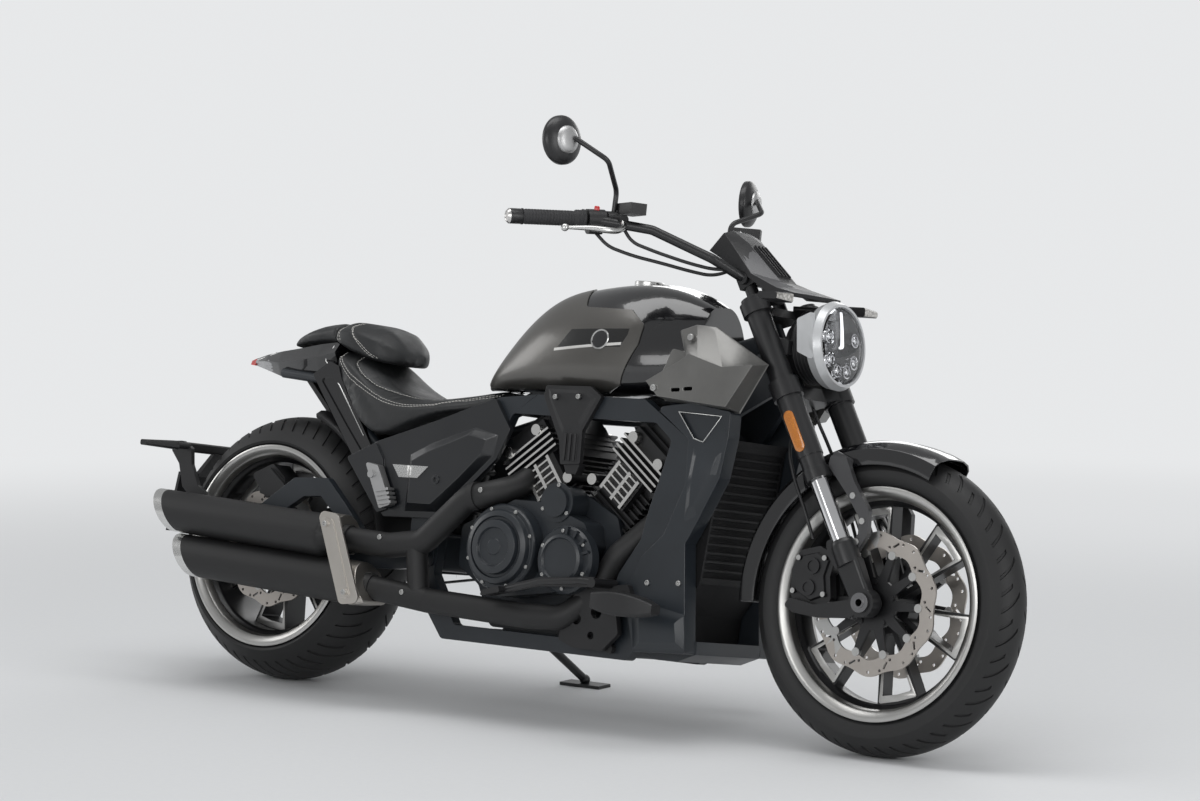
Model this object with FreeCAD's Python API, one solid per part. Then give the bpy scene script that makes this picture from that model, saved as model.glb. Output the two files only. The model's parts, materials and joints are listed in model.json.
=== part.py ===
import FreeCAD, Part
import math
import os

# Cruiser motorcycle with a V-twin engine, in millimetres.
# It is drawn upright with +X forward, +Y left, +Z up and its origin on the ground line
# midway between the axles. The last step leans it left onto its side stand.

os.makedirs("parts", exist_ok=True)

V = FreeCAD.Vector

# Stance
wheelbase = 1735.0
lean_angle = 9.29
rake = 29.7
fork_offset = 45.0
fork_half_track = 105.0

# Front wheel, 19 inch
front_tyre_radius = 335.0
front_tyre_half_width = 66.0
front_crown = 70.0
front_flange_radius = 258.0
front_disc_radius = 160.0
front_disc_side = 64.0

# Rear wheel, 18 inch, 240 mm wide
rear_tyre_radius = 325.0
rear_tyre_half_width = 120.0
rear_crown = 128.0
rear_flange_radius = 247.0
rear_disc_radius = 150.0
rear_disc_side = 92.0

# Engine
crank_x = 88.5
crank_z = 396.0
cylinder_angle = 37.6

# Frame
frame_inner = 128.0
frame_outer = 158.0
pivot_x = -330.0
pivot_z = 350.0

# Side stand
stand_pivot = V(-250.0, 192.0, 178.0)
stand_foot = V(-213.0, 366.0, 0.0)
stand_axis = V(0.0, 0.55, 0.835)

lean = math.radians(lean_angle)
tilt = math.radians(rake)
front_x = wheelbase / 2.0
rear_x = -wheelbase / 2.0
rear_z = rear_tyre_radius
parked_x = 14.0
parked_y = -182.0
front_z = front_tyre_radius - (rear_crown - front_crown) * (1.0 - math.cos(lean)) / math.cos(lean)
raise_z = rear_crown * (1.0 - math.cos(lean))

pieces = {}


# Basic shapes

def box(x0, x1, y0, y1, z0, z1):
    return Part.makeBox(x1 - x0, y1 - y0, z1 - z0, V(x0, y0, z0))


def rod(start, end, radius):
    along = end - start
    return Part.makeCylinder(radius, along.Length, start, along)


def cone(start, end, radius_start, radius_end):
    along = end - start
    return Part.makeCone(radius_start, radius_end, along.Length, start, along)


def rounded_wire(corners, radius):
    edges = []
    count = len(corners)
    bends = []
    for i in range(count):
        here = corners[i]
        back = corners[i - 1] - here
        ahead = corners[(i + 1) % count] - here
        half = back.getAngle(ahead) / 2.0
        reach = min(radius / math.tan(half), 0.45 * back.Length, 0.45 * ahead.Length)
        back.normalize()
        ahead.normalize()
        middle = back + ahead
        if middle.Length < 0.001 or reach < 0.05:
            bends.append((here, None, here))
            continue
        middle.normalize()
        true_radius = reach * math.tan(half)
        depth = true_radius / math.sin(half) - true_radius
        bends.append((here + back * reach, here + middle * depth, here + ahead * reach))
    for i in range(count):
        first = bends[i]
        second = bends[(i + 1) % count]
        if first[1] is not None:
            edges.append(Part.Arc(first[0], first[1], first[2]).toShape())
        if (second[0] - first[2]).Length > 0.01:
            edges.append(Part.makeLine(first[2], second[0]))
    return Part.Wire(edges)


def side_wire(outline, y, radius=0.0):
    corners = [V(x, y, z) for x, z in outline]
    if radius > 0:
        return rounded_wire(corners, radius)
    return Part.makePolygon(corners + [corners[0]])


def side_plate(outline, y0, y1, radius=0.0):
    face = Part.Face(side_wire(outline, y0, radius))
    return face.extrude(V(0, y1 - y0, 0))


def side_loft(outline_a, y_a, outline_b, y_b, radius=0.0, ruled=True):
    wires = [side_wire(outline_a, y_a, radius), side_wire(outline_b, y_b, radius)]
    return Part.makeLoft(wires, True, ruled)


def turned(profile, x, z):
    corners = [V(r, y, 0) for r, y in profile]
    face = Part.Face(Part.makePolygon(corners + [corners[0]]))
    solid = face.revolve(V(0, 0, 0), V(0, 1, 0), 360)
    solid.translate(V(x, 0, z))
    return solid


def ring(x, z, y0, y1, outer, inner=0.0):
    length = y1 - y0
    body = Part.makeCylinder(outer, length, V(x, y0, z), V(0, 1, 0))
    if inner > 0:
        body = body.cut(Part.makeCylinder(inner, length, V(x, y0, z), V(0, 1, 0)))
    return body


def path_wire(points, bend):
    edges = []
    last = points[0]
    for i in range(1, len(points) - 1):
        here = points[i]
        back = points[i - 1] - here
        ahead = points[i + 1] - here
        half = back.getAngle(ahead) / 2.0
        reach = min(bend / math.tan(half), 0.48 * back.Length, 0.48 * ahead.Length)
        back.normalize()
        ahead.normalize()
        middle = back + ahead
        middle.normalize()
        true_radius = reach * math.tan(half)
        depth = true_radius / math.sin(half) - true_radius
        start = here + back * reach
        end = here + ahead * reach
        if (start - last).Length > 0.01:
            edges.append(Part.makeLine(last, start))
        edges.append(Part.Arc(start, here + middle * depth, end).toShape())
        last = end
    edges.append(Part.makeLine(last, points[-1]))
    return Part.Wire(edges)


def pipe(points, radius, bend):
    path = path_wire(points, bend)
    circle = Part.Wire(Part.makeCircle(radius, points[0], points[1] - points[0]))
    return path.makePipeShell([circle], True, False)


def fused(shapes):
    body = shapes[0].multiFuse(shapes[1:]) if len(shapes) > 1 else shapes[0]
    return body.removeSplitter()


def mirrored(shape):
    return shape.mirror(V(0, 0, 0), V(0, 1, 0))


def pair(shape):
    return Part.makeCompound([shape, mirrored(shape)])


def without(shape, others):
    for other in others:
        if shape.BoundBox.intersect(other.BoundBox):
            shape = shape.cut(other)
    return shape


def to_fork(shape):
    shape = shape.copy()
    shape.rotate(V(0, 0, 0), V(0, 1, 0), -rake)
    shape.translate(V(front_x, 0, front_z))
    return shape


def fork_point(x, y, z):
    return V(front_x + x * math.cos(tilt) - z * math.sin(tilt), y,
             front_z + x * math.sin(tilt) + z * math.cos(tilt))


def oval_section(x, half_width, low, high, shoulder=0.3):
    height = high - low
    right = [(0.42, 1.0 - 0.10 * shoulder), (0.80, 1.0 - 0.75 * shoulder), (1.0, 0.45), (0.93, 0.10), (0.6, 0.0)]
    points = [V(x, 0, high)]
    for across, up in right:
        points.append(V(x, half_width * across, low + height * up))
    points.append(V(x, 0, low))
    for across, up in reversed(right):
        points.append(V(x, -half_width * across, low + height * up))
    curve = Part.BSplineCurve()
    curve.interpolate(points, PeriodicFlag=True)
    return Part.Wire(curve.toShape())


def cushion_section(x, half_width, low, high, crown):
    corners = [V(x, -half_width, low), V(x, half_width, low), V(x, half_width * 0.97, high - crown),
               V(x, half_width * 0.55, high), V(x, -half_width * 0.55, high), V(x, -half_width * 0.97, high - crown)]
    return rounded_wire(corners, 16.0)


# Front wheel: cast rim with six forked spokes, tyre, two petal discs on their carriers

def rim(x, z, flange, half, barrel, hub_radius, hub_half):
    side = [(flange, half + 6), (flange, half), (flange - 15, half - 2), (flange - 17, half - 24),
            (flange - 30, half - 34)]
    inner = [(barrel, half - 36), (flange - 28, half - 22), (flange - 24, half - 2), (flange - 7, half + 8)]
    profile = [(r, y) for r, y in side]
    profile += [(r, -y) for r, y in reversed(side)]
    profile += [(r, -y) for r, y in reversed(inner)]
    profile += [(r, y) for r, y in inner]
    band = turned(profile, x, z)
    hub = ring(x, z, -hub_half, hub_half, hub_radius)
    return [band, hub]


def spoke(inner, outer, half_angle, wall, half_thick, bar):
    angle = math.radians(half_angle)
    wide = outer * math.sin(angle)
    high = outer * math.cos(angle)
    foot = inner * math.sin(angle) + 6.0
    outline = [(-foot, inner), (foot, inner), (wide, high), (0, outer + 1.0), (-wide, high)]
    plate = side_plate(outline, -half_thick, half_thick)
    slope = (wide - foot) / (high - inner)
    low = inner + 26.0
    top = high - bar
    narrow = foot + slope * (low - inner) - wall
    broad = foot + slope * (top - inner) - wall
    window = side_plate([(-narrow, low), (narrow, low), (broad, top), (0, top + 3.0), (-broad, top)],
                        -half_thick - 1, half_thick + 1, 5.0)
    return plate.cut(window)


def wheel_spokes(x, z, single, first_angle, count):
    spokes = []
    for i in range(count):
        arm = single.copy()
        arm.rotate(V(0, 0, 0), V(0, 1, 0), 90.0 - (first_angle + i * 360.0 / count))
        arm.translate(V(x, 0, z))
        spokes.append(arm)
    return spokes


def tyre(x, z, radius, crown, side, last_angle, flange, flange_half):
    seat = flange - 15.0
    outer = [V(r, y, 0) for r, y in side]
    for i in range(5):
        angle = math.radians(last_angle * (4 - i) / 4.0)
        outer.append(V(radius - crown * (1.0 - math.cos(angle)), crown * math.sin(angle), 0))
    points = outer + [V(p.x, -p.y, 0) for p in reversed(outer[:-1])]
    curve = Part.BSplineCurve()
    curve.interpolate(points)
    base = [points[-1], V(seat + 1.0, -flange_half + 1.2, 0), V(seat + 1.0, flange_half - 1.2, 0), points[0]]
    face = Part.Face(Part.Wire([curve.toShape()] + Part.makePolygon(base).Edges))
    body = face.revolve(V(0, 0, 0), V(0, 1, 0), 360)
    body.translate(V(x, 0, z))
    return body


def petal_wire(x, y, z, radius, wave, lobes):
    points = []
    steps = lobes * 6
    for i in range(steps):
        angle = 2.0 * math.pi * i / steps
        reach = radius - wave * (0.5 - 0.5 * math.cos(lobes * angle))
        points.append(V(x + reach * math.sin(angle), y, z + reach * math.cos(angle)))
    curve = Part.BSplineCurve()
    curve.interpolate(points, PeriodicFlag=True)
    return Part.Wire(curve.toShape())


def petal_disc(x, z, y0, y1, radius, wave, lobes, inner):
    depth = y1 - y0
    disc = Part.Face(petal_wire(x, y0, z, radius, wave, lobes)).extrude(V(0, depth, 0))
    cuts = [Part.Face(petal_wire(x, y0 - 2, z, inner + wave, wave, lobes)).extrude(V(0, depth + 4, 0))]
    middle = (radius + inner) / 2.0
    for i in range(lobes):
        slot = box(-2.6, 2.6, y0 - 2, y1 + 2, -9.0, 9.0)
        slot.rotate(V(0, 0, 0), V(0, 1, 0), 40.0)
        slot.translate(V(0, 0, middle))
        slot.rotate(V(0, 0, 0), V(0, 1, 0), 360.0 * (i + 0.5) / lobes)
        slot.translate(V(x, 0, z))
        cuts.append(slot)
        for across, up in ((-0.32, 9.0), (0.32, -9.0), (0.0, 12.0)):
            turn = 2.0 * math.pi * (i + across) / lobes
            centre = V(x + (middle + up) * math.sin(turn), y0 - 2, z + (middle + up) * math.cos(turn))
            cuts.append(Part.makeCylinder(3.4, depth + 4, centre, V(0, 1, 0)))
    return disc.cut(Part.makeCompound(cuts))


def disc_carrier(x, z, y0, y1, inner, rim_radius, outer, arms):
    parts = [ring(x, z, y0, y1, rim_radius, inner)]
    for i in range(arms):
        angle = 360.0 * (i + 0.5) / arms
        foot = 9.0
        corners = [V(-foot - 3, y0, rim_radius - 3), V(foot + 3, y0, rim_radius - 3), V(foot - 2, y0, outer), V(2 - foot, y0, outer)]
        arm = Part.Face(Part.makePolygon(corners + [corners[0]])).extrude(V(0, y1 - y0, 0))
        button = Part.makeCylinder(9.5, y1 - y0 + 3.0, V(0, y0 - 1.5, outer), V(0, 1, 0))
        for shape in (arm, button):
            shape.rotate(V(0, 0, 0), V(0, 1, 0), angle)
            shape.translate(V(x, 0, z))
            parts.append(shape)
    for i in range(5):
        turn = 2.0 * math.pi * i / 5.0
        centre = V(x + (rim_radius - 9.0) * math.sin(turn), y0 - 4.0, z + (rim_radius - 9.0) * math.cos(turn))
        parts.append(Part.makeCylinder(5.5, 5.0, centre, V(0, 1, 0)))
    return fused(parts)


front_band = rim(front_x, front_z, front_flange_radius, 54.0, 218.0, 42.0, 60.0)
front_spokes = wheel_spokes(front_x, front_z, spoke(38.0, 223.0, 14.0, 12.0, 20.0, 20.0), 45.0, 6)
front_rim = fused(front_band + front_spokes)
front_bore = ring(front_x, front_z, -70, 70, 13.5)
front_rim = front_rim.cut(front_bore)
front_tyre = tyre(front_x, front_z, front_tyre_radius, front_crown,
                  [(259, 53), (268, 60), (281, front_tyre_half_width - 0.5), (294, 64.5)], 55.0, front_flange_radius, 54.0)
front_tyre = front_tyre.cut(front_rim)
one_disc = petal_disc(front_x, front_z, -front_disc_side - 2.5, -front_disc_side + 2.5, front_disc_radius, 8.0, 10, 116.0)
one_carrier = disc_carrier(front_x, front_z, -front_disc_side - 3.5, -front_disc_side + 4.0, 30.0, 58.0, 114.0, 10)
one_carrier = without(one_carrier, [front_rim])
one_disc = one_disc.fuse(one_carrier).removeSplitter()
pieces["front_rim"] = front_rim
pieces["front_tyre"] = front_tyre
pieces["front_discs"] = pair(one_disc)

# Rear wheel: wide cast rim, tyre, one disc on the right and the belt pulley on the left

rear_band = rim(rear_x, rear_z, rear_flange_radius, 112.0, 207.0, 48.0, 86.0)
rear_spokes = wheel_spokes(rear_x, rear_z, spoke(44.0, 214.0, 14.5, 13.0, 34.0, 22.0), 20.0, 6)
rear_rim = fused(rear_band + rear_spokes)
rear_rim = rear_rim.cut(ring(rear_x, rear_z, -100, 100, 15.5))
rear_tyre = tyre(rear_x, rear_z, rear_tyre_radius, rear_crown,
                 [(248, 111), (252, 117), (258, rear_tyre_half_width - 0.5), (264, 115)], 52.0, rear_flange_radius, 112.0)
rear_tyre = rear_tyre.cut(rear_rim)
rear_carrier = disc_carrier(rear_x, rear_z, -rear_disc_side - 3.5, -rear_disc_side + 4.0, 34.0, 60.0, 108.0, 10)
rear_carrier = rear_carrier.fuse(ring(rear_x, rear_z, -rear_disc_side + 4.0, -86.0, 46.0, 34.0)).removeSplitter()
rear_carrier = without(rear_carrier, [rear_rim])
rear_disc = petal_disc(rear_x, rear_z, -rear_disc_side - 3.0, -rear_disc_side + 3.0, rear_disc_radius, 8.0, 10, 110.0)
rear_disc = rear_disc.fuse(rear_carrier).removeSplitter()
pulley = ring(rear_x, rear_z, 122.0, 125.0, 108.0, 34.0)
pulley = pulley.fuse(ring(rear_x, rear_z, 125.0, 147.0, 104.0, 34.0)).fuse(ring(rear_x, rear_z, 147.0, 149.0, 108.0, 34.0))
pulley_holes = []
for i in range(6):
    turn = math.radians(60.0 * i)
    centre = V(rear_x + 72.0 * math.cos(turn), 80.0, rear_z + 72.0 * math.sin(turn))
    pulley_holes.append(Part.makeCylinder(17.0, 80.0, centre, V(0, 1, 0)))
pulley = pulley.cut(Part.makeCompound(pulley_holes)).fuse(ring(rear_x, rear_z, 86.0, 122.0, 48.0, 34.0)).removeSplitter()
pulley = without(pulley, [rear_rim])
pieces["rear_rim"] = rear_rim
pieces["rear_tyre"] = rear_tyre
pieces["rear_disc"] = rear_disc
pieces["driven_pulley"] = pulley

# Steering group, drawn in fork coordinates: Z along the legs, origin at the front axle

leg = fork_half_track
lower_yoke_z = 505.0
upper_yoke_z = 716.0

inner_tube = Part.makeCylinder(21.5, 230.0, V(0, -leg, 118.0), V(0, 0, 1))
outer_tube = Part.makeCylinder(27.5, 452.0, V(0, -leg, 300.0), V(0, 0, 1))
outer_tube = outer_tube.fuse(Part.makeCylinder(30.5, 26.0, V(0, -leg, 298.0), V(0, 0, 1)))
outer_tube = outer_tube.fuse(Part.makeCylinder(29.5, 150.0, V(0, -leg, 355.0), V(0, 0, 1))).removeSplitter()
outer_tube = outer_tube.cut(Part.makeCylinder(21.5, 50.0, V(0, -leg, 298.0), V(0, 0, 1)))
pieces["fork_outer_tubes"] = to_fork(pair(outer_tube))


def yoke(z0, z1, clamp):
    outline = [(-45 - 32, -24), (-45 - 32, 24), (-22, 70), (-22, leg + 8), (24, leg + 8), (24, leg - 24),
               (2, 46), (2, -46), (24, -leg + 24), (24, -leg - 8), (-22, -leg - 8), (-22, -70)]
    corners = [V(x, y, z0) for x, y in outline]
    plate = Part.Face(rounded_wire(corners, 12.0)).extrude(V(0, 0, z1 - z0))
    eyes = [Part.makeCylinder(clamp, z1 - z0 + 8, V(0, s * leg, z0 - 4), V(0, 0, 1)) for s in (-1, 1)]
    return fused([plate] + eyes)


lower_yoke = yoke(lower_yoke_z, lower_yoke_z + 34.0, 35.0)
upper_yoke = yoke(upper_yoke_z, upper_yoke_z + 22.0, 34.0)
stem = Part.makeCylinder(17.0, upper_yoke_z - lower_yoke_z - 20, V(-fork_offset, 0, lower_yoke_z + 30), V(0, 0, 1))
nut = Part.makeCylinder(17.0, 14.0, V(-fork_offset, 0, upper_yoke_z + 22.0), V(0, 0, 1))
risers = []
for side in (-1, 1):
    risers.append(Part.makeCylinder(15.0, 80.0, V(-26, side * 48, upper_yoke_z + 20.0), V(0, 0, 1)))
    risers.append(box(-45, -3, side * 48 - 17, side * 48 + 17, upper_yoke_z + 86.0, upper_yoke_z + 128.0))
yokes = fused([lower_yoke, upper_yoke, stem, nut] + risers)
legs_cut = [Part.makeCylinder(27.5, 452.0, V(0, s * leg, 300.0), V(0, 0, 1)) for s in (-1, 1)]
legs_cut += [Part.makeCylinder(29.5, 150.0, V(0, s * leg, 355.0), V(0, 0, 1)) for s in (-1, 1)]
yokes = yokes.cut(Part.makeCompound(legs_cut))
bar_height = upper_yoke_z + 106.0
bar_middle = fork_point(-24.0, 0.0, bar_height)

# Handlebar with its double bend, grips and bar-end weights


def both_sides_path(points):
    left = [V(p.x, -p.y, p.z) for p in reversed(points)]
    return left[:-1] + points if (left[-1] - points[0]).Length < 0.01 else left + points


bar_half = [V(bar_middle.x, -70.0, bar_middle.z), V(392.0, -130.0, 1072.0), V(276.0, -212.0, 1124.0),
            V(151.0, -277.0, 1137.0), V(62.0, -420.0, 1123.0)]
bar_path = both_sides_path(bar_half)
handlebar = pipe(bar_path, 11.1, 45.0)
handlebar = handlebar.fuse(rod(V(bar_middle.x, -75, bar_middle.z), V(bar_middle.x, 75, bar_middle.z), 14.0))
handlebar = handlebar.removeSplitter()
yokes = to_fork(yokes).cut(handlebar)
pieces["yokes"] = yokes
pieces["handlebar"] = handlebar
bar_run = bar_half[4] - bar_half[3]
bar_run.normalize()
grip_start = bar_half[3] + bar_run * 18.0
grip_end = bar_half[4]
grip = rod(grip_start, grip_end, 17.0).cut(handlebar)
grip = grip.fuse(rod(grip_start, grip_start + bar_run * 5.0, 22.0).cut(handlebar))
weight = rod(grip_end, grip_end + bar_run * 30.0, 17.5)
weight = weight.fuse(cone(grip_end + bar_run * 30.0, grip_end + bar_run * 36.0, 17.5, 13.0)).removeSplitter()
weight = weight.cut(handlebar)
grip = grip.fuse(weight).removeSplitter()
pieces["grips"] = pair(grip)

# Controls on the bar: switch blocks, reservoirs, levers


def along_bar(distance, up=0.0, ahead=0.0):
    base = bar_half[3] + bar_run * distance
    forward = bar_run.cross(V(0, 0, 1))
    forward.normalize()
    return base + V(0, 0, up) + forward * (-ahead)


switch_a = along_bar(-30.0)
switch_b = along_bar(12.0)
switch = rod(switch_a, switch_b, 23.0).fuse(rod(along_bar(-26, -14), along_bar(8, -14), 20.0)).removeSplitter()
lever_side = V(0.85, -0.53, 0.0)
clamp = rod(along_bar(-62.0), along_bar(-36.0), 20.0)
clamp = clamp.fuse(rod(along_bar(-49.0), along_bar(-49.0) + V(46, -12, 0), 12.0))
reservoir = box(0, 74, -24, 16, 12, 38)
reservoir.rotate(V(0, 0, 0), V(0, 0, 1), -29.0)
reservoir.translate(along_bar(-66.0) + V(10, 14, 0))
clamp = clamp.fuse(reservoir).removeSplitter()
lever_pivot = along_bar(-49.0) + V(46, -12, -2)
lever = pipe([lever_pivot, lever_pivot + V(-8, -40, -6), lever_pivot + V(-75, -130, -14), lever_pivot + V(-132, -212, -12)], 6.5, 30.0)
lever = lever.fuse(Part.makeSphere(9.5, lever_pivot + V(-132, -212, -12))).removeSplitter()
controls = fused([switch, clamp])
controls = controls.cut(handlebar).cut(grip)
lever = lever.cut(controls).cut(handlebar)
pieces["bar_controls"] = pair(controls)
pieces["levers"] = pair(lever)

# Mirrors on curved stalks


def mirror_head(centre, facing):
    rim_part = Part.makeCylinder(56.0, 12.0, V(0, 0, 0), V(0, 0, 1))
    back = Part.makeCone(54.0, 30.0, 16.0, V(0, 0, 12.0), V(0, 0, 1))
    cap = Part.makeCone(30.0, 18.0, 8.0, V(0, 0, 28.0), V(0, 0, 1))
    head = fused([rim_part, back, cap])
    turn = FreeCAD.Rotation(V(0, 0, 1), facing)
    head.Placement = FreeCAD.Placement(centre, turn)
    return head


right_mirror = mirror_head(V(112, -372, 1303), V(0.97, -0.15, 0.06))
left_mirror = mirror_head(V(118, 372, 1256), V(0.955, 0.29, 0.03))
stalk_base = along_bar(-49.0) + V(2, 4, 16)
right_stalk = pipe([stalk_base, stalk_base + V(2, 0, 50), V(205, -306, 1268), V(150, -366, 1310)], 6.0, 28.0)
left_base = V(stalk_base.x, -stalk_base.y, stalk_base.z)
left_stalk = pipe([left_base, left_base + V(2, 0, 34), V(212, 312, 1228), V(156, 366, 1262)], 6.0, 24.0)
mirrors = Part.makeCompound([fused([right_mirror, right_stalk]).cut(controls),
                             fused([left_mirror, left_stalk]).cut(mirrored(controls))])
pieces["mirrors"] = mirrors

# Fork feet, front axle, calipers


def fork_foot(side):
    y = side * leg
    boot = Part.makeCylinder(29.0, 46.0, V(0, y, 92.0), V(0, 0, 1))
    collar = Part.makeCone(29.0, 25.0, 12.0, V(0, y, 138.0), V(0, 0, 1))
    top = [V(-29, y - 19, 96), V(29, y - 19, 96), V(29, y + 19, 96), V(-29, y + 19, 96)]
    low = [V(-27, y - 15, 0), V(25, y - 15, 0), V(25, y + 15, 0), V(-27, y + 15, 0)]
    shank = Part.makeLoft([rounded_wire(top, 9), rounded_wire(low, 9)], True)
    eye = Part.makeCylinder(32.0, 34.0, V(0, y - 17, 0), V(0, 1, 0))
    pinch = box(-46, -20, y - 13, y + 13, -16, 16)
    bolts = [Part.makeCylinder(5.0, 6.0, V(-38, y + shift, -22), V(0, 0, 1)) for shift in (-6, 6)]
    return fused([boot, collar, shank, eye, pinch] + bolts)


def caliper_arms(side):
    y = side * leg
    upper = side_plate([(806, 474), (830, 424), (792, 398), (764, 432), (758, 462)], y - 9, y + 9, 8.0)
    lower = side_plate([(862, 300), (850, 342), (802, 332), (742, 320), (676, 330), (662, 312), (686, 298), (752, 292)],
                       y - 9, y + 9, 8.0)
    return [upper, lower]


left_foot = fork_foot(1).fuse(mirrored(inner_tube)).removeSplitter()
axle = rod(V(0, -leg - 26, 0), V(0, leg + 26, 0), 12.5)
spacers = [rod(V(0, s * 66, 0), V(0, s * (leg - 17), 0), 20.0) for s in (-1, 1)]
nuts = [rod(V(0, s * (leg + 17), 0), V(0, s * (leg + 24), 0), 22.0) for s in (-1, 1)]
axle = fused([axle] + spacers + nuts)
axle_bore = rod(V(0, -leg - 30, 0), V(0, leg + 30, 0), 8.0)
left_foot = fused([to_fork(left_foot)] + caliper_arms(1)).cut(to_fork(axle))
feet = [mirrored(left_foot), left_foot]
axle = to_fork(axle.cut(axle_bore))

caliper_outline = [(668, 332), (664, 392), (682, 436), (734, 450), (776, 428), (766, 384), (774, 330), (722, 312)]
caliper = side_plate(caliper_outline, -97.0, -42.0, 12.0)
caliper_face = [(682, 346), (678, 388), (694, 426), (732, 436), (764, 420), (754, 384), (762, 342), (722, 326)]
caliper = caliper.fuse(side_loft(caliper_face, -97.0, [(x * 0.94 + 43, z * 0.94 + 23) for x, z in caliper_face], -103.0))
for boss_x, boss_z in ((724, 404), (716, 356)):
    caliper = caliper.fuse(ring(boss_x, boss_z, -108.0, -96.0, 18.0, 12.0)).fuse(ring(boss_x, boss_z, -105.0, -96.0, 12.5))
for bolt_x, bolt_z in ((684, 420), (676, 346), (752, 424), (756, 344)):
    caliper = caliper.fuse(ring(bolt_x, bolt_z, -106.0, -96.0, 6.0))
slot_gap = ring(front_x, front_z, -front_disc_side - 8.0, -front_disc_side + 8.0, 168.0)
bridge_gaps = [side_plate([(660, 402), (700, 396), (700, 388), (660, 392)], -84.0, -46.0),
               side_plate([(656, 372), (696, 370), (696, 362), (656, 362)], -84.0, -46.0)]
caliper = caliper.removeSplitter().cut(slot_gap).cut(Part.makeCompound(bridge_gaps))
feet[0] = feet[0].cut(caliper)
feet[1] = feet[1].cut(mirrored(caliper))
pieces["front_axle"] = axle
pieces["fork_lower_legs"] = Part.makeCompound(feet)
pieces["front_calipers"] = pair(caliper)

# Front mudguard and its forged brace arms

guard_x = front_x - 12.0
guard_radius = 362.0
guard_profile = [(305, 71), (318, 73.5), (340, 72), (353, 58), (361, 32), (362, 0)]
guard_outer = guard_profile + [(r, -y) for r, y in reversed(guard_profile[:-1])]
guard_inner = [(r - 1.5 if abs(y) > 60 else r - 3.2, y * 0.95) for r, y in reversed(guard_outer)]
corners = [V(r, y, 0) for r, y in guard_outer + guard_inner]
guard_face = Part.Face(Part.makePolygon(corners + [corners[0]]))
guard_face.rotate(V(0, 0, 0), V(0, 1, 0), -66.0)
guard = guard_face.revolve(V(0, 0, 0), V(0, 1, 0), -118.0)
guard.translate(V(guard_x, 0, front_z))
brace_outline = [(738, 652), (778, 650), (806, 596), (850, 538), (852, 484), (812, 414), (786, 404), (768, 424),
                 (806, 446), (828, 484), (826, 520), (786, 572), (734, 628)]
brace = side_plate(brace_outline, -97.0, -82.0, 9.0)
brace = brace.fuse(side_plate([(722, 612), (776, 598), (786, 646), (738, 664)], -84.0, -74.5, 8.0))
for bolt_x, bolt_z in ((806, 566), (836, 512), (826, 466)):
    brace = brace.fuse(ring(bolt_x, bolt_z, -100.0, -96.0, 7.0))
brace = brace.removeSplitter()
brace = without(brace, [guard, feet[0], axle, pieces["fork_outer_tubes"]])
pieces["front_mudguard"] = guard
brace = max(without(brace, [caliper]).Solids, key=lambda s: s.Volume)
pieces["mudguard_braces"] = pair(brace)

# Headlamp with bezel and lens, brackets, instrument cowl, indicators

lamp_centre = V(676.0, 0.0, 900.0)
lamp_turn = FreeCAD.Rotation(V(0, 1, 0), 83.5)


def lamp_shape(shape):
    shape = shape.copy()
    shape.Placement = FreeCAD.Placement(lamp_centre, lamp_turn).multiply(shape.Placement)
    return shape


bezel = Part.makeCone(95.0, 101.0, 22.0, V(0, 0, -34), V(0, 0, 1))
bezel = bezel.fuse(Part.makeCone(101.0, 93.0, 16.0, V(0, 0, -12), V(0, 0, 1)))
bezel = bezel.cut(Part.makeCylinder(87.0, 60.0, V(0, 0, -40), V(0, 0, 1)))
lug_corners = [V(-70, 0, -14), V(-56, 0, -56), V(18, 0, -56), V(40, 0, -14)]
for side in (-1, 1):
    lug = Part.Face(rounded_wire(lug_corners, 6.0)).extrude(V(0, 10, 0))
    lug.translate(V(0, side * 92.0 - 5.0, 0))
    bezel = bezel.fuse(lug)
bezel = bezel.cut(Part.makeCylinder(87.0, 60.0, V(0, 0, -80), V(0, 0, 1))).removeSplitter()
lens = Part.makeCylinder(87.0, 18.0, V(0, 0, -34), V(0, 0, 1))
lens = lens.fuse(Part.makeCone(87.0, 72.0, 8.0, V(0, 0, -16), V(0, 0, 1))).removeSplitter()
shell = Part.makeCylinder(84.5, 46.0, V(0, 0, -80), V(0, 0, 1))
shell = shell.fuse(Part.makeCone(58.0, 84.5, 34.0, V(0, 0, -114), V(0, 0, 1)))
for i in range(4):
    shell = shell.cut(Part.makeTorus(84.5, 2.0, V(0, 0, -76 + 9 * i), V(0, 0, 1)))
head_room = rod(fork_point(-fork_offset, 0, 480.0), fork_point(-fork_offset, 0, 760.0), 36.0)
lamp_bezel = lamp_shape(bezel)
lamp_lens = lamp_shape(lens)
lamp_shell = lamp_shape(shell).cut(lamp_bezel).cut(head_room)
stay = side_plate([(545, 868), (600, 866), (600, 900), (530, 912)], -100.0, -84.0, 5.0)
stay = stay.fuse(side_plate([(505, 930), (560, 850), (585, 862), (535, 945)], -100.0, -78.0, 5.0))
stay = stay.fuse(box(560, 600, -90, -70, 868, 898))
stays = fused([stay, mirrored(stay)])
stays = without(stays, [lamp_shell, lamp_bezel, lamp_lens, pieces["fork_outer_tubes"], pieces["yokes"]])
lamp_shell = without(lamp_shell.fuse(stays).removeSplitter(), [pieces["fork_outer_tubes"], pieces["yokes"]])
pieces["headlamp_shell"] = max(lamp_shell.Solids, key=lambda s: s.Volume)
pieces["headlamp_bezel"] = lamp_bezel.cut(to_fork(Part.makeCompound(legs_cut)))
pieces["headlamp_lens"] = lamp_lens

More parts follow.
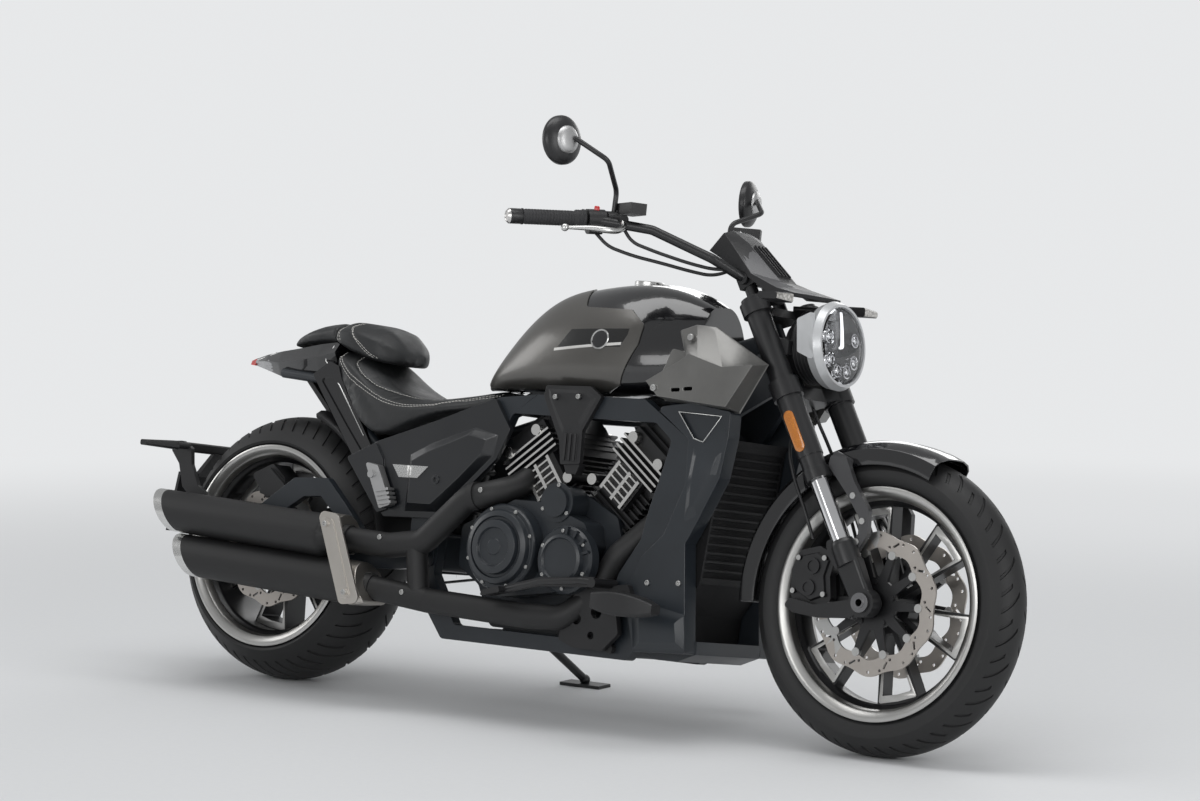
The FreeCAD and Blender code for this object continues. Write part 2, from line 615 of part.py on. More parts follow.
cowl_middle = [(338, 1100), (374, 1148), (421, 1120), (517, 1037), (560, 1024), (642, 1004), (638, 994), (540, 1006), (430, 1062)]
cowl_side = [(342, 1096), (378, 1138), (398, 1118), (462, 1049), (536, 1019), (584, 1009), (580, 1001), (520, 1003), (436, 1050)]
cowl_right = side_loft(cowl_middle, -32.0, cowl_side, -75.0)
cowl_ribs = []
for i in range(4):
    rib_y = -21.0 + 14.0 * i
    cowl_ribs.append(side_plate([(428, 1112), (431, 1119), (508, 1052), (505, 1044)], rib_y - 2.0, rib_y + 2.0))
cowl_core = side_plate(cowl_middle, -32.0, 32.0)
cowl = fused([cowl_core, cowl_right, mirrored(cowl_right)] + cowl_ribs)
cowl = without(cowl, [pieces["handlebar"], pieces["yokes"], pieces["fork_outer_tubes"]])
pieces["instrument_cowl"] = cowl

indicator = rod(V(562, -92, 985), V(584, -152, 988), 8.0)
indicator_ends = []
for end_y, reach, half in ((-148.0, 30.0, 11.0), (-208.0, 26.0, 8.0)):
    indicator_ends.append(rounded_wire([V(604 - reach, end_y, 990 - half), V(604 + reach, end_y, 990 - half),
                                        V(604 + reach, end_y, 990 + half), V(604 - reach, end_y, 990 + half)], 6.0))
indicator = indicator.fuse(Part.makeLoft(indicator_ends, True))
indicator = indicator.fuse(rod(V(498, -58, 982), V(562, -92, 985), 7.0)).fuse(Part.makeSphere(8.0, V(562, -92, 985)))
indicator = indicator.removeSplitter()
indicator = without(indicator, [cowl, pieces["fork_outer_tubes"], pieces["yokes"]])
pieces["front_indicators"] = pair(indicator)

# Brake hoses and the wiring along the bar: straight runs joined by tangent bends


def hose(points, radius):
    edges = []
    last = points[0]
    for i in range(1, len(points) - 1):
        back = points[i - 1] - points[i]
        ahead = points[i + 1] - points[i]
        half = back.getAngle(ahead) / 2.0
        reach = 0.45 * min(back.Length, ahead.Length)
        bend = reach * math.tan(half)
        back.normalize()
        ahead.normalize()
        middle = back + ahead
        middle.normalize()
        start = points[i] + back * reach
        end = points[i] + ahead * reach
        edges.append(Part.makeLine(last, start))
        edges.append(Part.Arc(start, points[i] + middle * (bend / math.sin(half) - bend), end).toShape())
        last = end
    edges.append(Part.makeLine(last, points[-1]))
    circle = Part.Wire(Part.makeCircle(radius, points[0], points[1] - points[0]))
    return Part.Wire(edges).makePipeShell([circle], True, False)


hose_radius = 4.0
leg_run = [(-34, -44, 506), (-37, -50, 470), (-46, -72, 432), (-56, -92, 392), (-65, -95, 330), (-67, -93, 262), (-74, -91, 190)]
caliper_hose = hose([fork_point(x, y, z) for x, y, z in leg_run], hose_radius)
bar_line = hose([V(216, -246, 1128), V(240, -236, 1092), V(292, -208, 1074), V(348, -160, 1057), V(400, -120, 1047),
                 V(440, -70, 1062)], hose_radius)
wiring = hose([V(158, -266, 1108), V(186, -252, 1079), V(240, -226, 1062), V(294, -190, 1052), V(340, -146, 1041), V(384, -108, 1034),
               V(426, -66, 1062)], hose_radius)
hose_ends = [controls, pieces["yokes"], pieces["handlebar"], cowl, caliper, mirrored(caliper)] + feet
caliper_hose = without(caliper_hose, hose_ends)
pieces["brake_hoses"] = pair(caliper_hose)
cables = Part.makeCompound([without(bar_line, hose_ends), without(wiring, hose_ends)])
pieces["bar_cables"] = Part.makeCompound([s for s in cables.Solids if s.Volume > 2000])

# Frame: two side beams around the engine, cradle, steering head, spine and saddle rails

beam_outline = [(-205, 640), (-163, 724), (-46, 738), (128, 743), (262, 744), (400, 658), (404, 560), (357, 440),
                (310, 385), (278, 300), (300, 175), (282, 150), (-262, 150), (-385, 300), (-385, 500), (-300, 560)]
window_outline = [(-112, 690), (300, 692), (348, 655), (330, 587), (303, 495), (288, 425), (236, 345), (222, 300), (232, 210),
                  (200, 186), (-225, 186), (-300, 300), (-290, 440), (-215, 520), (-150, 600)]
beam = side_plate(beam_outline, frame_inner, frame_outer, 14.0)
beam = beam.cut(side_plate(window_outline, frame_inner - 1, frame_outer + 1, 14.0))
left_beam = beam.cut(box(-420, -160, frame_inner - 1, 149.0, 290, 470))
beams = [left_beam, mirrored(beam)]
spine = Part.makeLoft([
    rounded_wire([V(470, -24, 850), V(470, 24, 850), V(470, 24, 915), V(470, -24, 915)], 8),
    rounded_wire([V(300, -34, 800), V(300, 34, 800), V(300, 34, 870), V(300, -34, 870)], 8),
    rounded_wire([V(0, -34, 752), V(0, 34, 752), V(0, 34, 812), V(0, -34, 812)], 8),
    rounded_wire([V(-190, -30, 696), V(-190, 30, 696), V(-190, 30, 736), V(-190, -30, 736)], 8)], True)
head_low = fork_point(-fork_offset, 0, lower_yoke_z + 42.0)
head_high = fork_point(-fork_offset, 0, upper_yoke_z - 8.0)
head = rod(head_low, head_high, 30.0)
neck = Part.makeLoft([
    Part.makePolygon([V(378, -132, 640), V(378, -156, 640), V(300, -156, 716), V(300, -132, 716), V(378, -132, 640)]),
    Part.makePolygon([V(560, -14, 800), V(560, -24, 800), V(482, -24, 876), V(482, -14, 876), V(560, -14, 800)])], True)
cross_tubes = [rod(V(-158, -130, 704), V(-158, 130, 704), 15.0), rod(V(270, -130, 170), V(270, 130, 170), 14.0),
               rod(V(-240, -130, 168), V(-240, 130, 168), 14.0), rod(V(-345, -130, 492), V(-345, 130, 492), 15.0)]
saddle_rail = pipe([V(-158, 100, 704), V(-540, 100, 578), V(-620, 100, 640), V(-745, 92, 742), V(-900, 80, 752)], 12.0, 60.0)
rail_ties = [rod(V(-560, -100, 594), V(-560, 100, 594), 10.0), rod(V(-890, -82, 752), V(-890, 82, 752), 9.0)]
rail_struts = rod(V(-356, 118, 492), V(-530, 104, 580), 11.0)
pivot_bolt = fused([ring(pivot_x, pivot_z, -166, 166, 12.0), ring(pivot_x, pivot_z, -172, -158, 18.0),
                    ring(pivot_x, pivot_z, 158, 184, 18.0)])
frame = fused(beams + [pivot_bolt] + cross_tubes)
steering_head = fused([spine, head, neck, mirrored(neck)])
rear_subframe = fused([saddle_rail, mirrored(saddle_rail), rail_struts, mirrored(rail_struts)] + rail_ties)
stem_bore = rod(fork_point(-fork_offset, 0, lower_yoke_z + 30), fork_point(-fork_offset, 0, upper_yoke_z + 6), 18.0)
steering_head = max(steering_head.cut(stem_bore).cut(frame).Solids, key=lambda s: s.Volume)
rear_subframe = rear_subframe.cut(frame).cut(steering_head)
structure = [frame, steering_head, rear_subframe]

# Engine: crankcase, round covers, two finned cylinders, vee cover


def engine_point(along, across, y, side):
    angle = math.radians(cylinder_angle)
    x = crank_x + side * (along * math.sin(angle) - across * math.cos(angle))
    z = crank_z + along * math.cos(angle) + across * math.sin(angle)
    return V(x, y, z)


def engine_block(a0, a1, c0, c1, y0, y1, side):
    corners = [engine_point(a0, c0, y0, side), engine_point(a1, c0, y0, side),
               engine_point(a1, c1, y0, side), engine_point(a0, c1, y0, side)]
    return Part.Face(Part.makePolygon(corners + [corners[0]])).extrude(V(0, y1 - y0, 0))


case_outline = [(-196, 285), (-262, 325), (-262, 420), (-150, 470), (-60, 505), (88, 520), (190, 470), (214, 400), (205, 300),
                (196, 216), (150, 190), (-150, 190)]
crankcase = side_plate(case_outline, -118.0, 118.0, 20.0)
sump = side_plate([(-140, 192), (-120, 160), (140, 160), (170, 192)], -90.0, 90.0, 8.0)
right_bulge = side_plate([(-150, 300), (-150, 440), (-60, 490), (20, 490), (150, 450), (165, 400), (140, 330), (100, 290), (-80, 262)],
                         -186.0, -117.0, 20.0)
left_bulge = side_plate([(-150, 300), (-150, 430), (-60, 480), (60, 490), (180, 440), (200, 360), (170, 280), (100, 240), (-80, 240)],
                        117.0, 170.0, 20.0)
crankcase = fused([crankcase, sump, right_bulge, left_bulge])


def cylinder(side):
    parts = [engine_block(96, 212, -62, 62, -96, 96, side), engine_block(210, 322, -74, 74, -104, 104, side),
             engine_block(142, 228, -38, 52, -126, 126, side), engine_block(228, 312, -66, 66, -122, 122, side),
             engine_block(318, 338, -52, 52, -92, 92, side)]
    for i in range(7):
        height = 104 + 15 * i
        parts.append(engine_block(height, height + 4, -74, 74, -108, 108, side))
    for i in range(4):
        height = 232 + 15 * i
        parts.append(engine_block(height, height + 5, -76, 76, -138, 138, side))
    for across in (-32, 0, 40):
        parts.append(engine_block(146, 226, across - 4, across + 4, -138, 138, side))
    for i in range(5):
        height = 152 + 16 * i
        parts.append(engine_block(height, height + 4, -32, 40, -134, 134, side))
    for along, across in ((292, -48), (292, 48), (146, 68)):
        for hand in (-1, 1):
            centre = engine_point(along, across, hand * 60, side)
            parts.append(Part.makeCylinder(13.0, hand * 84 if hand > 0 else 84, centre, V(0, hand, 0)))
    return fused(parts)


rear_cylinder = cylinder(-1)
front_cylinder = cylinder(1)
crankcase = crankcase.cut(rear_cylinder).cut(front_cylinder)
clutch_profile = [(0, -186), (101, -186), (101, -214), (96, -222), (88, -222), (84, -234), (72, -238), (70, -233), (64, -233),
                  (62, -246), (46, -249), (43, -242), (20, -242), (18, -245), (0, -245)]
clutch = turned(clutch_profile, -63, 377)
small_profile = [(0, -186), (78, -186), (78, -212), (72, -219), (60, -219), (57, -232), (50, -235), (47, -230), (0, -230)]
small_cover = turned(small_profile, 121, 363)
for i in range(4):
    turn = math.radians(18.0 + 22.0 * i)
    rib = box(52, 76, -226, -214, -3, 3)
    rib.rotate(V(0, 0, 0), V(0, 1, 0), -math.degrees(turn))
    rib.translate(V(121, 0, 363))
    small_cover = small_cover.fuse(rib)
small_cover = small_cover.removeSplitter()
vee_round = ring(65, 492, -190, -186, 46.0).fuse(ring(65, 492, -186, -118, 40.0)).fuse(ring(65, 492, -198, -190, 34.0)).removeSplitter()
alternator = ring(40, 370, 170, 214, 104.0).fuse(ring(40, 370, 214, 226, 78.0)).removeSplitter()
small_cover = small_cover.cut(clutch)
vee_round = without(vee_round, [small_cover, clutch, rear_cylinder, front_cylinder, crankcase])
pieces["rear_cylinder"] = rear_cylinder
pieces["front_cylinder"] = front_cylinder.cut(rear_cylinder)
pieces["clutch_cover"] = clutch

# Exhaust: two pipes on the right, stacked mufflers with slash-cut tips and a band plate

pipe_radius = 30.0
front_pipe = pipe([V(318, -75, 515), V(280, -106, 456), V(222, -144, 385), V(170, -150, 290), V(112, -188, 230), V(20, -200, 226),
                   V(-270, -205, 236), V(-470, -232, 257)], 29.0, 60.0)
rear_pipe = pipe([V(-70, -95, 560), V(-82, -150, 520), V(-110, -205, 500), V(-180, -208, 482), V(-300, -210, 370),
                  V(-400, -214, 355), V(-550, -234, 362)], 30.0, 60.0)
cross_pipe = rod(V(-300, -206, 238), V(-318, -211, 366), 26.0)
clamp_rings = [rod(V(-505, -229, 360), V(-530, -232, 361), 34.0), rod(V(-425, -225, 252), V(-450, -229, 254), 33.0),
               rod(V(-150, -207, 491), V(-166, -208, 487), 33.5)]
exhaust = fused([front_pipe, rear_pipe, cross_pipe] + clamp_rings)
exhaust = without(exhaust, [rear_cylinder, front_cylinder, clutch, small_cover, crankcase])


def muffler(front, back, radius_front, radius_back):
    length = back - front
    length.normalize()
    nose = cone(front, front + length * 26.0, 33.0, radius_front)
    body = cone(front + length * 26.0, back, radius_front, radius_back)
    return nose.fuse(body).removeSplitter()


upper_front = V(-548, -234, 362)
upper_back = V(-1128, -234, 389)
lower_front = V(-468, -232, 257)
lower_back = V(-1052, -232, 284)
slash_upper = Part.makeBox(400, 400, 400, V(-400, -200, -200))
slash_upper.rotate(V(0, 0, 0), V(0, 1, 0), -28.0)
slash_lower = slash_upper.copy()
slash_upper.translate(V(-1098, -234, 389))
slash_lower.translate(V(-1022, -232, 284))
muffler_upper = muffler(upper_front, upper_back, 52.0, 50.0)
muffler_lower = muffler(lower_front, lower_back, 51.0, 49.5)
muffler_upper = muffler_upper.cut(slash_upper)
muffler_lower = muffler_lower.cut(slash_lower)
tip_upper = muffler_upper.copy()
tip_lower = muffler_lower.copy()
tip_keep_upper = slash_upper.copy()
tip_keep_upper.translate(V(26, 0, 0))
tip_keep_lower = slash_lower.copy()
tip_keep_lower.translate(V(26, 0, 0))
tip_upper = tip_upper.common(tip_keep_upper)
tip_lower = tip_lower.common(tip_keep_lower)
muffler_upper = muffler_upper.cut(tip_keep_upper)
muffler_lower = muffler_lower.cut(tip_keep_lower)
hollow_upper = rod(V(-1040, -234, 385), V(-1160, -234, 390.5), 43.0)
hollow_lower = rod(V(-964, -232, 280.5), V(-1084, -232, 286), 42.5)
tip_upper = tip_upper.cut(hollow_upper)
tip_lower = tip_lower.cut(hollow_lower)
muffler_upper = muffler_upper.cut(hollow_upper)
muffler_lower = muffler_lower.cut(hollow_lower)
muffler_lower = muffler_lower.cut(muffler_upper)
tip_lower = tip_lower.cut(muffler_upper).cut(tip_upper)
exhaust = exhaust.cut(muffler_upper).cut(muffler_lower)
band_outline = [(-566, 424), (-500, 418), (-408, 214), (-470, 206)]
band_strap = side_plate(band_outline, -294.0, -176.0, 8.0)
strap_shell = fused([rod(V(-520, -234, 361), V(-600, -234, 365), 56.0).common(band_strap),
                     rod(V(-400, -232, 253), V(-560, -232, 261), 55.0).common(band_strap),
                     side_plate(band_outline, -292.0, -286.0, 16.0),
                     side_plate([(-550, 408), (-514, 404), (-436, 224), (-468, 220)], -295.0, -292.0, 10.0),
                     ring(-530, 392, -299.0, -294.0, 8.0), ring(-452, 236, -299.0, -294.0, 8.0)])
band = fused([strap_shell.cut(muffler_upper).cut(muffler_lower).cut(exhaust)])
pieces["exhaust_pipes"] = exhaust
muffler_upper = muffler_upper.fuse(tip_upper).removeSplitter()
muffler_lower = muffler_lower.fuse(tip_lower).removeSplitter().cut(muffler_upper)
pieces["mufflers"] = Part.makeCompound([muffler_upper, muffler_lower])
pieces["muffler_band"] = band

# Swingarm, rear axle, shock absorber, rear caliper, belt

arm_outline = [(-306, 384), (-300, 318), (-420, 300), (-700, 290), (-905, 292), (-930, 325), (-905, 356), (-700, 352), (-440, 376)]
arm = side_plate(arm_outline, 134.0, 164.0, 14.0)
truss_outline = [(-450, 366), (-520, 372), (-596, 446), (-657, 502), (-762, 496), (-858, 428), (-905, 350), (-860, 350),
                 (-806, 402), (-726, 452), (-672, 456), (-610, 402), (-560, 360)]
arm = arm.fuse(side_plate(truss_outline, 138.0, 160.0, 8.0))
left_arm = arm.copy()
left_arm.translate(V(0, 18, 0))
pivot_tube = rod(V(pivot_x, -126, pivot_z), V(pivot_x, 126, pivot_z), 24.0)
arm_bridge = side_plate([(-350, 396), (-300, 396), (-300, 306), (-350, 306), (-440, 320), (-440, 372)], -126.0, 126.0, 10.0)
arm_link = side_plate([(-340, 392), (-340, 312), (-450, 306), (-450, 384)], 100.0, 138.0, 8.0)
left_link = side_plate([(-400, 340), (-400, 312), (-440, 312), (-440, 340)], 100.0, 156.0, 4.0)
swingarm = fused([left_arm, mirrored(arm), arm_bridge, left_link, mirrored(arm_link)])
swingarm = swingarm.cut(frame)
swingarm = swingarm.cut(ring(pivot_x, pivot_z, -130, 130, 12.0))
wheel_room = ring(rear_x, rear_z, -130, 130, rear_tyre_radius + 18.0)
swingarm = swingarm.cut(wheel_room)
rear_axle = fused([ring(rear_x, rear_z, -176, 192, 14.5), ring(rear_x, rear_z, -180, -164, 21.0), ring(rear_x, rear_z, 182, 196, 21.0),
                   ring(rear_x, rear_z, -134, -100, 22.0), ring(rear_x, rear_z, 150, 152, 22.0)])
swingarm = swingarm.cut(rear_axle)
rear_axle = rear_axle.cut(ring(rear_x, rear_z, -190, 200, 9.0))
shock = fused([rod(V(-392, 0, 330), V(-300, 0, 640), 24.0), rod(V(-378, 0, 378), V(-318, 0, 580), 36.0),
               rod(V(-300, -26, 652), V(-300, 26, 652), 16.0)])
shock_coils = [Part.makeTorus(40.0, 5.0, V(-378, 0, 378) + V(60, 0, 202) * (0.1 + 0.16 * i), V(60, 0, 202)) for i in range(6)]
shock = fused([shock] + shock_coils)
rear_caliper = side_plate([(rear_x + 95, rear_z + 60), (rear_x + 168, rear_z + 30), (rear_x + 178, rear_z + 92), (rear_x + 120, rear_z + 138)],
                          -126.0, -66.0, 10.0)
rear_caliper = rear_caliper.cut(ring(rear_x, rear_z, -rear_disc_side - 8, -rear_disc_side + 8, 158.0))
caliper_hanger = side_plate([(rear_x + 100, rear_z + 80), (rear_x + 120, rear_z + 20), (rear_x + 160, rear_z + 20), (rear_x + 170, rear_z + 90)],
                            -139.0, -126.0, 5.0)
rear_caliper = rear_caliper.fuse(caliper_hanger).removeSplitter()
rear_caliper.rotate(V(rear_x, 0, rear_z), V(0, 1, 0), -62.0)
rear_caliper = without(rear_caliper, [swingarm])

belt_front_x = -212.0
belt_front_z = 372.0


def belt_outline(extra):
    wide = 104.0 + extra
    small = 46.0 + extra
    gap_x = belt_front_x - rear_x
    gap_z = belt_front_z - rear_z
    gap = math.hypot(gap_x, gap_z)
    base = math.atan2(gap_z, gap_x)
    spread = math.acos((wide - small) / gap)
    arc_rear = []
    for i in range(25):
        angle = base + spread + (2 * math.pi - 2 * spread) * i / 24
        arc_rear.append((rear_x + wide * math.cos(angle), rear_z + wide * math.sin(angle)))
    arc_front = []
    for i in range(13):
        angle = base - spread + 2 * spread * i / 12
        arc_front.append((belt_front_x + small * math.cos(angle), belt_front_z + small * math.sin(angle)))
    return arc_rear + arc_front


belt = side_plate(belt_outline(5.0), 126.0, 146.0).cut(side_plate(belt_outline(0.4), 125.0, 147.0))
sprocket = ring(belt_front_x, belt_front_z, 124.0, 148.0, 46.0).fuse(ring(belt_front_x, belt_front_z, 100.0, 124.0, 30.0)).removeSplitter()
pieces["rear_axle"] = rear_axle

# Rear mudguard under the saddle, number plate carrier, rear indicators

hugger_profile = [(345, 117), (352, 121), (362, 108), (366, 60), (367, 0)]
hugger_outer = hugger_profile + [(r, -y) for r, y in reversed(hugger_profile[:-1])]
hugger_inner = [(r - 3.0, y * 0.975) for r, y in reversed(hugger_outer)]
corners = [V(r, y, 0) for r, y in hugger_outer + hugger_inner]
hugger_face = Part.Face(Part.makePolygon(corners + [corners[0]]))
hugger_face.rotate(V(0, 0, 0), V(0, 1, 0), -8.0)
hugger = hugger_face.revolve(V(0, 0, 0), V(0, 1, 0), -62.0)
hugger.translate(V(rear_x, 0, rear_z))
tail_liner = side_plate([(-836, 752), (-748, 668), (-738, 655), (-732, 662), (-740, 676), (-826, 758)], -86.0, 86.0)
hugger = hugger.fuse(tail_liner).removeSplitter()

# Saddle, passenger pads, tail fairing with its diagonal struts

saddle = Part.makeLoft([
    cushion_section(-176, 62, 746, 768, 8), cushion_section(-250, 92, 716, 736, 10), cushion_section(-340, 128, 682, 716, 14),
    cushion_section(-430, 148, 650, 706, 18), cushion_section(-520, 150, 618, 722, 24), cushion_section(-590, 142, 640, 762, 26),
    cushion_section(-660, 128, 716, 812, 26), cushion_section(-700, 116, 776, 826, 18)], True, False)
hump = Part.makeLoft([
    cushion_section(-520, 46, 800, 822, 8), cushion_section(-546, 74, 792, 846, 18), cushion_section(-590, 96, 794, 868, 26),
    cushion_section(-650, 106, 806, 884, 26), cushion_section(-705, 106, 824, 886, 22), cushion_section(-734, 98, 836, 874, 12)], True, False)
rear_pad = Part.makeLoft([
    cushion_section(-728, 96, 834, 884, 12), cushion_section(-800, 88, 832, 872, 12), cushion_section(-860, 76, 824, 850, 9),
    cushion_section(-892, 64, 816, 828, 4)], True, False)
saddle = without(saddle.cut(hump), structure)
tail_sections = []
for x, half, low, high in ((-716, 112, 776, 836), (-780, 108, 752, 828), (-850, 98, 742, 816), (-920, 84, 744, 806), (-985, 62, 758, 796), (-1040, 34, 768, 786)):
    corners = [V(x, -half * 0.8, low), V(x, half * 0.8, low), V(x, half, low + (high - low) * 0.55), V(x, half * 0.82, high),
               V(x, -half * 0.82, high), V(x, -half, low + (high - low) * 0.55)]
    tail_sections.append(Part.makePolygon(corners + [corners[0]]))
tail = Part.makeLoft(tail_sections, True, True)
strut = side_plate([(-770, 752), (-718, 786), (-690, 776), (-676, 744), (-560, 585), (-511, 520), (-583, 515), (-640, 590)],
                   96.0, 122.0, 6.0)
strut = strut.cut(side_plate([(-744, 742), (-704, 748), (-560, 560), (-580, 560), (-650, 636)], 118.0, 124.0, 6.0))
tail = fused([tail, strut, mirrored(strut)])
tail = without(tail, structure + [saddle, hump, rear_pad])
tail_light = Part.makeLoft([
    Part.makePolygon([V(-1040, -34, 768), V(-1040, 34, 768), V(-1040, 30, 786), V(-1040, -30, 786), V(-1040, -34, 768)]),
    Part.makePolygon([V(-1064, -24, 770), V(-1064, 24, 770), V(-1064, 20, 780), V(-1064, -20, 780), V(-1064, -24, 770)])], True)
rear_pad = without(rear_pad, [tail, hump])
hugger = without(hugger, structure + [tail])
carrier_outline = [(-880, 352), (-930, 350), (-1070, 415), (-1112, 449), (-1130, 505), (-1158, 536), (-1158, 560), (-1126, 562),
                   (-1094, 546), (-1088, 505), (-1060, 455), (-960, 396)]
carrier_arm = side_plate(carrier_outline, 166.0, 178.0, 8.0)
carrier_bridge = side_plate([(-1158, 536), (-1134, 536), (-1134, 560), (-1158, 560)], -178.0, 194.0, 5.0)
plate_stay = side_plate([(-1156, 540), (-1146, 538), (-1196, 478), (-1206, 484)], -34.0, 34.0)
plate_board = side_plate([(-1206, 486), (-1198, 486), (-1222, 336), (-1230, 336)], -95.0, 95.0)
left_carrier = carrier_arm.copy()
left_carrier.translate(V(0, 16, 0))
indicator_arm = rod(V(-1108, 170, 549), V(-1120, 214, 549), 8.0)
indicator_head = Part.makeLoft([
    rounded_wire([V(-1134, 208, 538), V(-1106, 208, 538), V(-1106, 208, 560), V(-1134, 208, 560)], 6.0),
    rounded_wire([V(-1160, 292, 541), V(-1140, 292, 541), V(-1140, 292, 555), V(-1160, 292, 555)], 5.0)], True)
rear_indicator = indicator_arm.fuse(indicator_head).removeSplitter()
plate_carrier = fused([left_carrier, mirrored(carrier_arm), carrier_bridge, plate_stay, plate_board, rear_indicator,
                       mirrored(rear_indicator)])
plate_carrier = without(plate_carrier, [swingarm, rear_axle])

# Radiator, shrouds, chin cowl

radiator = side_plate([(470, 654), (438, 339), (392, 266), (386, 196), (346, 196), (352, 270), (396, 345), (426, 654)], -124.0, 124.0)
radiator_frame = side_plate([(476, 668), (470, 654), (426, 654), (420, 668)], -127.0, 127.0)
radiator = fused([radiator, radiator_frame])
core_run = V(438, 0, 339) - V(470, 0, 654)
core_grooves = []
for i in range(15):
    middle = V(470, 0, 654) + core_run * (0.055 + 0.0625 * i)
    groove = box(-6, 6, -116, 116, -7, 7)
    groove.rotate(V(0, 0, 0), V(0, 1, 0), 5.8)
    groove.translate(middle)
    core_grooves.append(groove)
radiator = radiator.cut(Part.makeCompound(core_grooves))
shroud_outline = [(306, 727), (400, 742), (512, 728), (512, 668), (498, 577), (446, 470), (422, 425), (449, 180),
                  (306, 172), (266, 300), (303, 386), (360, 442), (407, 560), (403, 660)]
shroud = side_plate(shroud_outline, 128.0, 172.0, 8.0)
shroud = shroud.cut(side_plate([(372, 720), (490, 716), (446, 656), (420, 662)], 166.0, 174.0, 4.0))
chin = side_plate([(306, 174), (300, 200), (384, 194), (450, 210), (449, 180), (400, 160), (330, 160)], -128.0, 128.0)
chin = chin.cut(radiator)
lower_facet = side_loft([(286, 292), (440, 268), (449, 186), (306, 178)], -172.0, [(322, 262), (420, 246), (430, 204), (330, 196)], -184.0)
upper_facet = side_loft([(420, 650), (500, 640), (490, 584), (446, 490), (412, 470), (410, 560)], -172.0,
                        [(434, 628), (484, 622), (474, 584), (440, 512), (428, 510), (426, 566)], -178.0)
shrouds = fused([shroud, mirrored(shroud), chin, lower_facet, mirrored(lower_facet), upper_facet, mirrored(upper_facet)])
shrouds = without(shrouds, structure + [radiator])
crankcase = crankcase.cut(exhaust)
frame = without(frame, [crankcase, rear_cylinder, front_cylinder, radiator, exhaust])
steering_head = without(steering_head, [rear_cylinder, front_cylinder, radiator])
pieces["radiator"] = radiator

# Fuel tank, side panels, filler cap, intake scoops

tank_stations = [(-272, 50, 744, 766), (-225, 84, 746, 838), (-158, 110, 748, 913), (-84, 132, 748, 967), (-10, 148, 748, 994),
                 (101, 160, 748, 1013), (181, 156, 750, 1018), (274, 138, 762, 1003), (350, 96, 800, 972)]
tank = Part.makeLoft([oval_section(x, half, low, high, 0.34) for x, half, low, high in tank_stations], True, False)
tank_large = Part.makeLoft([oval_section(x, half + 4, low - 2, high + 3, 0.34) for x, half, low, high in tank_stations], True, False)
tank_skin = Part.makeLoft([oval_section(x, half + 0.9, low - 0.6, high + 0.8, 0.34) for x, half, low, high in tank_stations], True, False)
panel_outline = [(-264, 748), (-264, 822), (-222, 880), (-150, 960), (-60, 1010), (14, 1000), (44, 950), (182, 948), (227, 914),
                 (225, 868), (180, 772), (135, 754), (-40, 752)]
panel = tank_large.common(side_plate(panel_outline, -190.0, -48.0, 14.0)).cut(tank_skin)
panel = max(panel.Solids, key=lambda s: s.Volume)
left_panel = tank_large.common(side_plate(panel_outline, 48.0, 190.0, 14.0)).cut(tank_skin)
left_panel = max(left_panel.Solids, key=lambda s: s.Volume)
tank = without(tank, structure)
tank = tank.fuse(Part.makeCylinder(30.0, 22.0, V(130, 0, 1000), V(0, 0, 1))).removeSplitter()
pieces["tank_side_panels"] = Part.makeCompound([panel, left_panel])
pieces["fuel_tank"] = tank



def scoop_shell(scale, y_inner, y_ridge, y_outer):
    inner = [(340, 904), (385, 920), (440, 917), (591, 838), (526, 724), (316, 742), (276, 782), (362, 842)]
    ridge = [(346, 906), (389, 918), (439, 915), (589, 839), (524, 728), (322, 744), (284, 782), (372, 840)]
    outer = [(404, 850), (430, 843), (500, 824), (581, 832), (519, 736), (330, 750), (294, 783), (388, 836)]
    sections = []
    for outline, y in ((inner, y_inner), (ridge, y_ridge), (outer, y_outer)):
        sections.append(side_wire([(450 + (x - 450) * scale, 822 + (z - 822) * scale) for x, z in outline], y))
    return Part.makeLoft(sections, True, True)


scoop = scoop_shell(1.0, -154.0, -158.0, -206.0).cut(scoop_shell(0.93, -146.0, -153.0, -200.0))
scoop_slots = [side_plate([(400, 766), (424, 768), (424, 776), (400, 774)], -215.0, -195.0, 3.0),
               side_plate([(366, 762), (390, 764), (390, 772), (366, 770)], -215.0, -195.0, 3.0)]
scoop = scoop.cut(Part.makeCompound(scoop_slots))
scoop_bolts = [ring(394, 888, -186.0, -170.0, 8.0), ring(322, 768, -210.0, -198.0, 7.0)]
scoop_stay = side_plate([(296, 780), (350, 790), (400, 850), (330, 862)], -164.0, -100.0, 6.0)
scoop = fused([scoop] + scoop_bolts + [scoop_stay])
scoop = without(scoop, [tank_skin, tank] + structure + [shrouds, panel])
pieces["intake_scoops"] = pair(max(scoop.Solids, key=lambda s: s.Volume))

# Side covers, vee covers, foot pegs, pedal and lever

cover_outline = [(-590, 552), (-499, 601), (-327, 659), (-158, 722), (-104, 652), (-138, 580), (-216, 506), (-297, 430), (-462, 422)]
side_cover = side_plate(cover_outline, 158.0, 172.0, 10.0)
bulge_low = [(-394, 574), (-330, 606), (-206, 650), (-138, 636), (-148, 586), (-222, 516), (-300, 444), (-396, 440)]
bulge_high = [(-376, 560), (-330, 584), (-212, 630), (-160, 622), (-168, 592), (-230, 530), (-308, 462), (-378, 460)]
side_cover = side_cover.fuse(side_loft(bulge_low, 172.0, bulge_high, 190.0))
side_cover = side_cover.fuse(side_plate([(-588, 556), (-502, 596), (-476, 560), (-446, 440), (-478, 430)], 172.0, 178.0, 6.0))
side_cover = side_cover.fuse(ring(-296, 520, 188.0, 194.0, 11.0, 5.0)).removeSplitter()
vee_cover = side_plate([(-12, 760), (116, 764), (150, 742), (104, 660), (106, 584), (50, 580), (40, 636), (-16, 734)], 158.0, 172.0, 5.0)
vee_cover = vee_cover.fuse(side_plate([(54, 584), (102, 584), (92, 560), (64, 560)], 140.0, 166.0))
